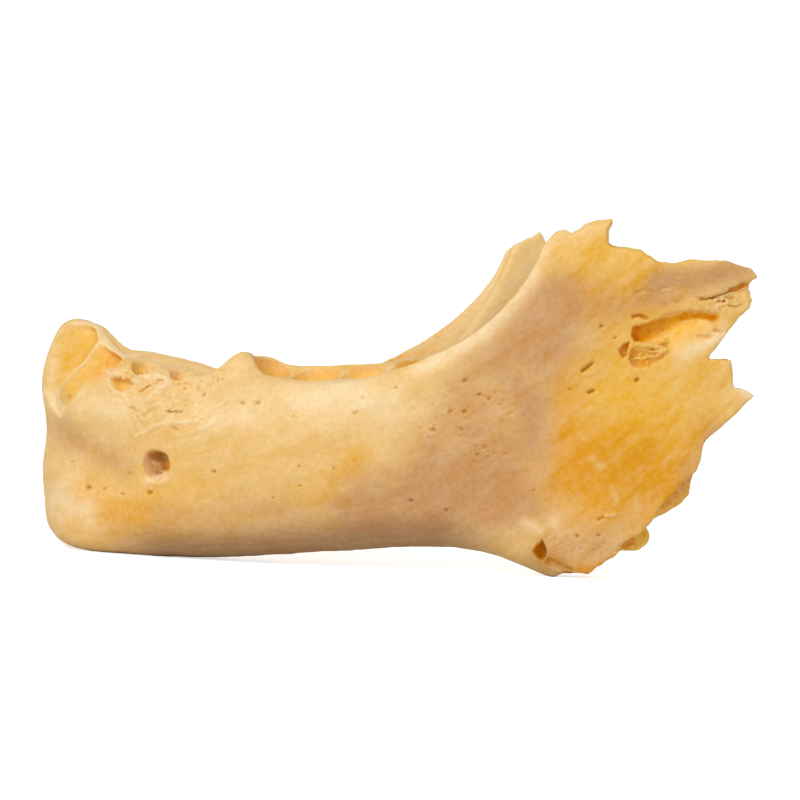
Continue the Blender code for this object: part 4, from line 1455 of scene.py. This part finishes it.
def linear_colour(code: str) -> tuple[float, float, float, float]:
    """Turn an sRGB hex colour into Blender's linear colour.

    Args:
        code: The colour, such as "#f0d8a8".

    Returns:
        Linear red, green and blue, and an alpha of 1.
    """
    channels = [int(code[index:index + 2], 16) / 255 for index in (1, 3, 5)]
    red, green, blue = (c / 12.92 if c <= 0.04045 else ((c + 0.055) / 1.055) ** 2.4 for c in channels)
    return red, green, blue, 1.0


def add_node(tree: bpy.types.NodeTree, kind: str, settings: Optional[dict[str, Any]] = None,
             links: Optional[dict[Any, bpy.types.NodeSocket]] = None) -> bpy.types.Node:
    """Add a node with its settings and links.

    Args:
        tree: The node tree.
        kind: The node's type name.
        settings: Properties by name, and input values by the input's name or number.
        links: Output sockets by the name or number of the input that they feed.

    Returns:
        The node.
    """
    node = tree.nodes.new(kind)
    for name, value in (settings or {}).items():
        if isinstance(name, str) and hasattr(node, name):
            setattr(node, name, value)
        else:
            node.inputs[name].default_value = value
    for name, socket in (links or {}).items():
        tree.links.new(socket, node.inputs[name])
    return node


@dataclass(frozen=True)
class DryBone:
    """Dry bone, cleaned by water and handled: satin, ivory yellow, and fibrous along its length."""

    ivory: str = "#edc37c"
    tones: tuple[tuple[Tone, str], ...] = (
        (Tone.HONEY, "#f2bd50"),
        (Tone.AMBER, "#e6a22a"),
        (Tone.TAN, "#d09d66"),
        # brown of grime, also used as painted shade
        (Tone.UMBER, "#8f684e"),
        (Tone.CREAM, "#fadfb0"),
        # pale yellow of the painted glow
        (Tone.GLOW, "#ffcf66"),
        (Tone.DEEP, "#f4b012"),
    )
    roughness: float = 0.55
    gloss: float = 0.25         # dry, dusty pores dull it to half of what its density gives
    ior: float = 1.55
    glow_depth_mm: float = 0.9  # how far light wanders inside the bone
    glow_shares: Triple = (1.0, 0.6, 0.3)   # how far red, green and blue wander, as shares of that
    glow: float = 0.3           # share of the light that goes in
    # Haversian grain: real canals are 0.05 mm wide, drawn 0.3 mm wide so that they show
    grain_mm: Triple = (0.6, 0.6, 0.6)
    # Fibres 4 mm long along the bone; real ones are 0.1 mm wide, drawn 0.6 mm wide
    fibre_mm: Triple = (4.0, 0.6, 2.0)
    # Blotches of fat left in the bone: where it is darker it is also more orange
    blotch_mm: Triple = (4.0, 2.2, 3.0)
    grain_value: Pair = (0.96, 1.03)
    fibre_value: Pair = (0.985, 1.015)
    blotch_value: Pair = (1.035, 0.965)
    grain_richness: Pair = (1.05, 0.95)
    blotch_richness: Pair = (0.92, 1.09)
    blotch_hue: Pair = (0.502, 0.498)
    bump: float = 0.5
    bump_mm: float = 0.07
    bump_fibres: float = 0.5    # height of the fibres as a share of the grain's

    def material(self) -> bpy.types.Material:
        """Make the material.

        Returns:
            The bone's material.
        """
        material = bpy.data.materials.new("dry_macerated_bone")
        material.use_nodes = True
        tree = material.node_tree
        tree.nodes.clear()
        place = add_node(tree, "ShaderNodeTexCoord").outputs["Object"]
        run = add_node(tree, "ShaderNodeAttribute", {"attribute_name": GRAIN_RUN}).outputs["Vector"]
        grain = self.noise(tree, place, [width * MM for width in self.grain_mm], 3.0)
        fibres = self.noise(tree, run, self.fibre_mm, 2.0)
        blotches = self.noise(tree, run, self.blotch_mm, 4.0)
        value = self.product(tree, [self.spread(tree, grain, *self.grain_value),
                                    self.spread(tree, fibres, *self.fibre_value),
                                    self.spread(tree, blotches, *self.blotch_value)])
        richness = self.product(tree, [self.spread(tree, blotches, *self.blotch_richness),
                                       self.spread(tree, grain, *self.grain_richness)])
        colour = add_node(tree, "ShaderNodeHueSaturation", links={
            "Color": self.tinted(tree), "Hue": self.spread(tree, blotches, *self.blotch_hue),
            "Saturation": richness, "Value": value}).outputs["Color"]
        height = add_node(tree, "ShaderNodeMath", {"operation": "MULTIPLY_ADD", 1: self.bump_fibres},
                          {0: fibres, 2: grain}).outputs["Value"]
        bump = add_node(tree, "ShaderNodeBump", {"Strength": self.bump, "Distance": self.bump_mm * MM},
                        {"Height": height}).outputs["Normal"]
        radius = self.glow_depth_mm * MM
        shader = add_node(tree, "ShaderNodeBsdfPrincipled",
                          {"Roughness": self.roughness, "IOR": self.ior,
                           "Specular IOR Level": self.gloss, "Subsurface Weight": self.glow,
                           "Subsurface Radius": [share * radius for share in self.glow_shares],
                           "Subsurface Scale": 1.0},
                          {"Base Color": colour, "Normal": bump})
        add_node(tree, "ShaderNodeOutputMaterial", links={"Surface": shader.outputs["BSDF"]})
        return material

    @staticmethod
    def noise(tree: bpy.types.NodeTree, place: bpy.types.NodeSocket, width: Sequence[float],
              detail: float) -> bpy.types.NodeSocket:
        """Add a noise.

        Args:
            tree: The material's node tree.
            place: The coordinates it is read in.
            width: Width of a lump in each direction, in the coordinates' unit.
            detail: How many finer layers it has.

        Returns:
            The noise, about from 0.3 to 0.7.
        """
        scaled = add_node(tree, "ShaderNodeMapping", {"Scale": [1 / size for size in width]},
                          {"Vector": place})
        return add_node(tree, "ShaderNodeTexNoise",
                        {"Scale": 1.0, "Detail": detail, "Roughness": 0.6, "Distortion": 0.2},
                        {"Vector": scaled.outputs["Vector"]}).outputs["Fac"]

    @staticmethod
    def spread(tree: bpy.types.NodeTree, noise: bpy.types.NodeSocket, low: float,
               high: float) -> bpy.types.NodeSocket:
        """Bring a noise to values from low to high."""
        return add_node(tree, "ShaderNodeMapRange", {"From Min": 0.3, "From Max": 0.7, "To Min": low,
                                                     "To Max": high}, {"Value": noise}).outputs["Result"]

    @staticmethod
    def product(tree: bpy.types.NodeTree, factors: Sequence[bpy.types.NodeSocket]) -> bpy.types.NodeSocket:
        """Multiply values.

        Args:
            tree: The material's node tree.
            factors: The values.

        Returns:
            The product.
        """
        total = factors[0]
        for factor in factors[1:]:
            total = add_node(tree, "ShaderNodeMath", {"operation": "MULTIPLY"},
                             {0: total, 1: factor}).outputs["Value"]
        return total

    def tinted(self, tree: bpy.types.NodeTree) -> bpy.types.NodeSocket:
        """Lay the tones over the ivory ground by their shares on the mesh.

        Args:
            tree: The material's node tree.

        Returns:
            The colour.
        """
        ground = add_node(tree, "ShaderNodeRGB")
        ground.outputs["Color"].default_value = linear_colour(self.ivory)
        colour = ground.outputs["Color"]
        for tone, code in self.tones:
            share = add_node(tree, "ShaderNodeAttribute", {"attribute_name": tone.value})
            layer = add_node(tree, "ShaderNodeMix", {"data_type": "RGBA", "B": linear_colour(code)},
                             {"Factor": share.outputs["Fac"]})
            tree.links.new(colour, layer.inputs["A"])
            colour = layer.outputs["Result"]
        return colour


@dataclass(frozen=True)
class Mandible:
    """The whole lower jaw: its form, what is lost from it, its surface and its finish."""

    form: JawForm = JawForm()
    losses: tuple[BrokenRami | AlveolarProcess, ...] = (BrokenRami(), AlveolarProcess())
    finish: DryBone = DryBone()
    voxel: float = 0.25             # finest step of the worn surface
    softened: int = 4               # how often the worn surface is evened out
    softening: float = 0.5          # how far each evening out goes
    most_triangles: int = 190000    # most triangles of the finished piece
    # Where the finest marks lie: distance along the arch, facing, and the front's distance and height
    near_side: float = 2.0
    near_facing: float = 0.25
    front: Pair = (-27.0, 17.0)

    def build(self) -> bpy.types.Object:
        """Model and dress the jaw.

        Returns:
            The finished object, in metres.
        """
        jaw = finished_object("mandible_bone", self.form.build())
        whole = BVHTree.FromObject(jaw, bpy.context.evaluated_depsgraph_get())
        self.take_away(jaw)
        LOG.info("losses taken away: %d points", len(jaw.data.vertices))
        self.refine(jaw)
        LOG.info("near side refined: %d points", len(jaw.data.vertices))
        self.raise_relief(jaw, whole)
        self.thin_out(jaw)
        LOG.info("thinned out: %d triangles", len(jaw.data.polygons))
        self.paint(jaw, whole)
        jaw.data.transform(Matrix.Scale(MM, 4))
        jaw.data.materials.append(self.finish.material())
        jaw.data.shade_smooth()
        return jaw

    def take_away(self, jaw: bpy.types.Object) -> None:
        """Cut the sockets, canals and breaks, and wear the surface.

        Args:
            jaw: The whole form, which is changed.
        """
        solids = [solid for loss in self.losses for solid in loss.cutters()]
        solids += [MANDIBULAR.canal(side) for side in Side] + [MENTAL.canal(Side.RIGHT)]
        lost = bpy.data.collections.new("lost")
        bpy.context.scene.collection.children.link(lost)
        for number, solid in enumerate(solids):
            piece = finished_object(f"lost_{number}", solid)
            bpy.context.scene.collection.objects.unlink(piece)
            lost.objects.link(piece)
        cut = jaw.modifiers.new("cut", "BOOLEAN")
        cut.operation = "DIFFERENCE"
        cut.operand_type = "COLLECTION"
        cut.collection = lost
        cut.solver = "EXACT"
        cut.use_self = True
        wear = jaw.modifiers.new("wear", "REMESH")
        wear.mode = "VOXEL"
        wear.voxel_size = self.voxel
        soften = jaw.modifiers.new("soften", "SMOOTH")
        soften.factor = self.softening
        soften.iterations = self.softened
        self.apply_modifiers(jaw)
        for piece in list(lost.objects):
            bpy.data.objects.remove(piece)
        bpy.data.collections.remove(lost)

    @staticmethod
    def apply_modifiers(jaw: bpy.types.Object) -> None:
        """Turn the object's modifiers into its mesh.

        Args:
            jaw: The object.
        """
        graph = bpy.context.evaluated_depsgraph_get()
        mesh = bpy.data.meshes.new_from_object(jaw.evaluated_get(graph))
        jaw.modifiers.clear()
        old, jaw.data = jaw.data, mesh
        bpy.data.meshes.remove(old)

    def refine(self, jaw: bpy.types.Object) -> None:
        """Split the faces of the left cheek side and of the front's rim, where the finest marks lie.

        Args:
            jaw: The worn bone, which is changed.
        """
        points, normals = mesh_arrays(jaw.data)
        along, _ = ARCH.coordinates(points)
        facing = (normals[:, :2] * ARCH.outward(along)).sum(axis=1)
        front = (along > self.front[0]) & (points[:, 2] > self.front[1])
        marked = (along < self.near_side) & ((facing > self.near_facing) | front)
        bm = bmesh.new()
        bm.from_mesh(jaw.data)
        bm.verts.ensure_lookup_table()
        edges = [edge for edge in bm.edges if marked[edge.verts[0].index] and marked[edge.verts[1].index]]
        bmesh.ops.subdivide_edges(bm, edges=edges, cuts=1, use_grid_fill=True)
        bm.to_mesh(jaw.data)
        bm.free()

    def raise_relief(self, jaw: bpy.types.Object, whole: BVHTree) -> None:
        """Raise the surface's relief.

        Args:
            jaw: The worn bone, which is changed.
            whole: The whole form's faces.
        """
        points, normals = mesh_arrays(jaw.data)
        bone = BonePoints(points, normals, buried_depth(points, whole))
        inwards = FrontBreak().shift(bone) + Openings().shift(bone)
        points[:, :2] -= bone.outward * inwards[:, None]
        bone.buried = np.maximum(bone.buried, inwards)
        self.move_points(jaw, points)
        bone.points, normals = mesh_arrays(jaw.data)
        self.move_points(jaw, points + normals * SurfaceRelief().displacement(bone)[:, None])

    @staticmethod
    def move_points(jaw: bpy.types.Object, points: np.ndarray) -> None:
        """Put the mesh's points in new places, none of them under the table.

        Args:
            jaw: The object.
            points: The new places.
        """
        places = np.column_stack([points[:, :2], np.maximum(points[:, 2], 0.0)])
        jaw.data.vertices.foreach_set("co", places.ravel())
        jaw.data.update()

    def thin_out(self, jaw: bpy.types.Object) -> None:
        """Drop triangles where the surface is even.

        Args:
            jaw: The worn bone, which is changed.
        """
        triangles = sum(len(face.vertices) - 2 for face in jaw.data.polygons)
        thin = jaw.modifiers.new("thin", "DECIMATE")
        thin.ratio = min(1.0, self.most_triangles / triangles)
        self.apply_modifiers(jaw)

    def paint(self, jaw: bpy.types.Object, whole: BVHTree) -> None:
        """Write the tones' shares on the mesh.

        Args:
            jaw: The finished surface, in millimetres.
            whole: The whole form's faces.
        """
        points, normals = mesh_arrays(jaw.data)
        bone = BonePoints(points, normals, buried_depth(points, whole))
        for tone, share in BoneTones(bone).laid().items():
            attribute = jaw.data.attributes.new(tone.value, "FLOAT", "POINT")
            attribute.data.foreach_set("value", share.astype(np.float32))
        run = jaw.data.attributes.new(GRAIN_RUN, "FLOAT_VECTOR", "POINT")
        run.data.foreach_set("vector", bone.grain_run().astype(np.float32).ravel())


@dataclass(frozen=True)
class Studio:
    """A plain pale floor, soft light and the photograph's camera."""

    target: Triple = (2.4, 0.0, 18.4)   # what the camera looks at
    azimuth: float = -2.0
    elevation: float = 2.5
    roll: float = 1.2
    distance: float = 480.0
    focal_pixels: float = 3916.0
    floor_half: float = 20000.0
    floor_lift: float = 0.65            # keeps the floor as pale as the room behind it
    room_light: float = 0.6             # strength of the even light from all sides
    key_place: Triple = (-260.0, -420.0, 380.0)
    key_size: float = 450.0
    key_watts: float = 1.8

    def camera(self) -> None:
        """Put the camera at the photograph's angle."""
        turn, rise, roll = (math.radians(angle) for angle in (self.azimuth, self.elevation, self.roll))
        back = Vector((math.sin(turn) * math.cos(rise), -math.cos(turn) * math.cos(rise), math.sin(rise)))
        level = back.cross(Vector((0.0, 0.0, -1.0))).normalized()
        upright = back.cross(level)
        right = level * math.cos(roll) + upright * math.sin(roll)
        up = upright * math.cos(roll) - level * math.sin(roll)
        data = bpy.data.cameras.new("photo_camera")
        data.sensor_width = 36.0
        data.lens = data.sensor_width * self.focal_pixels / PICTURE
        data.clip_start = 0.01
        data.clip_end = 100.0
        camera = bpy.data.objects.new("photo_camera", data)
        place = (Vector(self.target) + back * self.distance) * MM
        camera.matrix_world = Matrix.Translation(place) @ Matrix((right, up, back)).transposed().to_4x4()
        bpy.context.scene.collection.objects.link(camera)
        bpy.context.scene.camera = camera

    def floor(self) -> bpy.types.Object:
        """Make the pale floor.

        Returns:
            The floor.
        """
        bm = bmesh.new()
        bmesh.ops.create_grid(bm, x_segments=1, y_segments=1, size=self.floor_half * MM)
        floor = finished_object("floor", bm)
        material = bpy.data.materials.new("matt_white_painted_floor")
        material.use_nodes = True
        tree = material.node_tree
        shader = tree.nodes["Principled BSDF"]
        shader.inputs["Base Color"].default_value = linear_colour("#e8e8e8")
        shader.inputs["Roughness"].default_value = 0.9
        shader.inputs["Emission Color"].default_value = linear_colour("#ffffff")
        seen = add_node(tree, "ShaderNodeLightPath").outputs["Is Camera Ray"]
        lift = add_node(tree, "ShaderNodeMath", {"operation": "MULTIPLY", 1: self.floor_lift}, {0: seen})
        tree.links.new(lift.outputs["Value"], shader.inputs["Emission Strength"])
        floor.data.materials.append(material)
        return floor

    def key_light(self) -> None:
        """Hang the square soft light that shines on the jaw from the upper front."""
        data = bpy.data.lights.new("key_from_upper_front", "AREA")
        data.size = self.key_size * MM
        data.energy = self.key_watts
        place = Vector(self.key_place)
        lamp = bpy.data.objects.new("key_from_upper_front", data)
        lamp.location = place * MM
        lamp.rotation_euler = (place - Vector(self.target)).to_track_quat("Z", "Y").to_euler()
        bpy.context.scene.collection.objects.link(lamp)

    def world(self) -> None:
        """Fill the room with even white light."""
        world = bpy.data.worlds.new("white_room")
        world.use_nodes = True
        tree = world.node_tree
        seen = add_node(tree, "ShaderNodeLightPath").outputs["Is Camera Ray"]
        level = add_node(tree, "ShaderNodeMapRange", {"To Min": self.room_light, "To Max": 1.0},
                         {"Value": seen})
        tree.links.new(level.outputs["Result"], tree.nodes["Background"].inputs["Strength"])
        tree.nodes["Background"].inputs["Color"].default_value = linear_colour("#ffffff")
        bpy.context.scene.world = world


def studio_around(studio: Studio) -> None:
    """Set up the room.

    Args:
        studio: The studio.
    """
    bpy.context.scene.view_settings.view_transform = "Standard"
    studio.camera()
    studio.world()
    studio.key_light()
    studio.floor()
    LOG.info("studio ready")


def main() -> None:
    """Build the jaw and the studio around it, and report each."""
    logging.basicConfig(level=logging.INFO, format="%(asctime)s %(message)s")
    studio_around(Studio())
    jaw = Mandible().build()
    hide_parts("mandible")
    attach(jaw, "root")
    LOG.info("jaw ready: %d triangles", len(jaw.data.polygons))


if __name__ == "__main__":
    main()
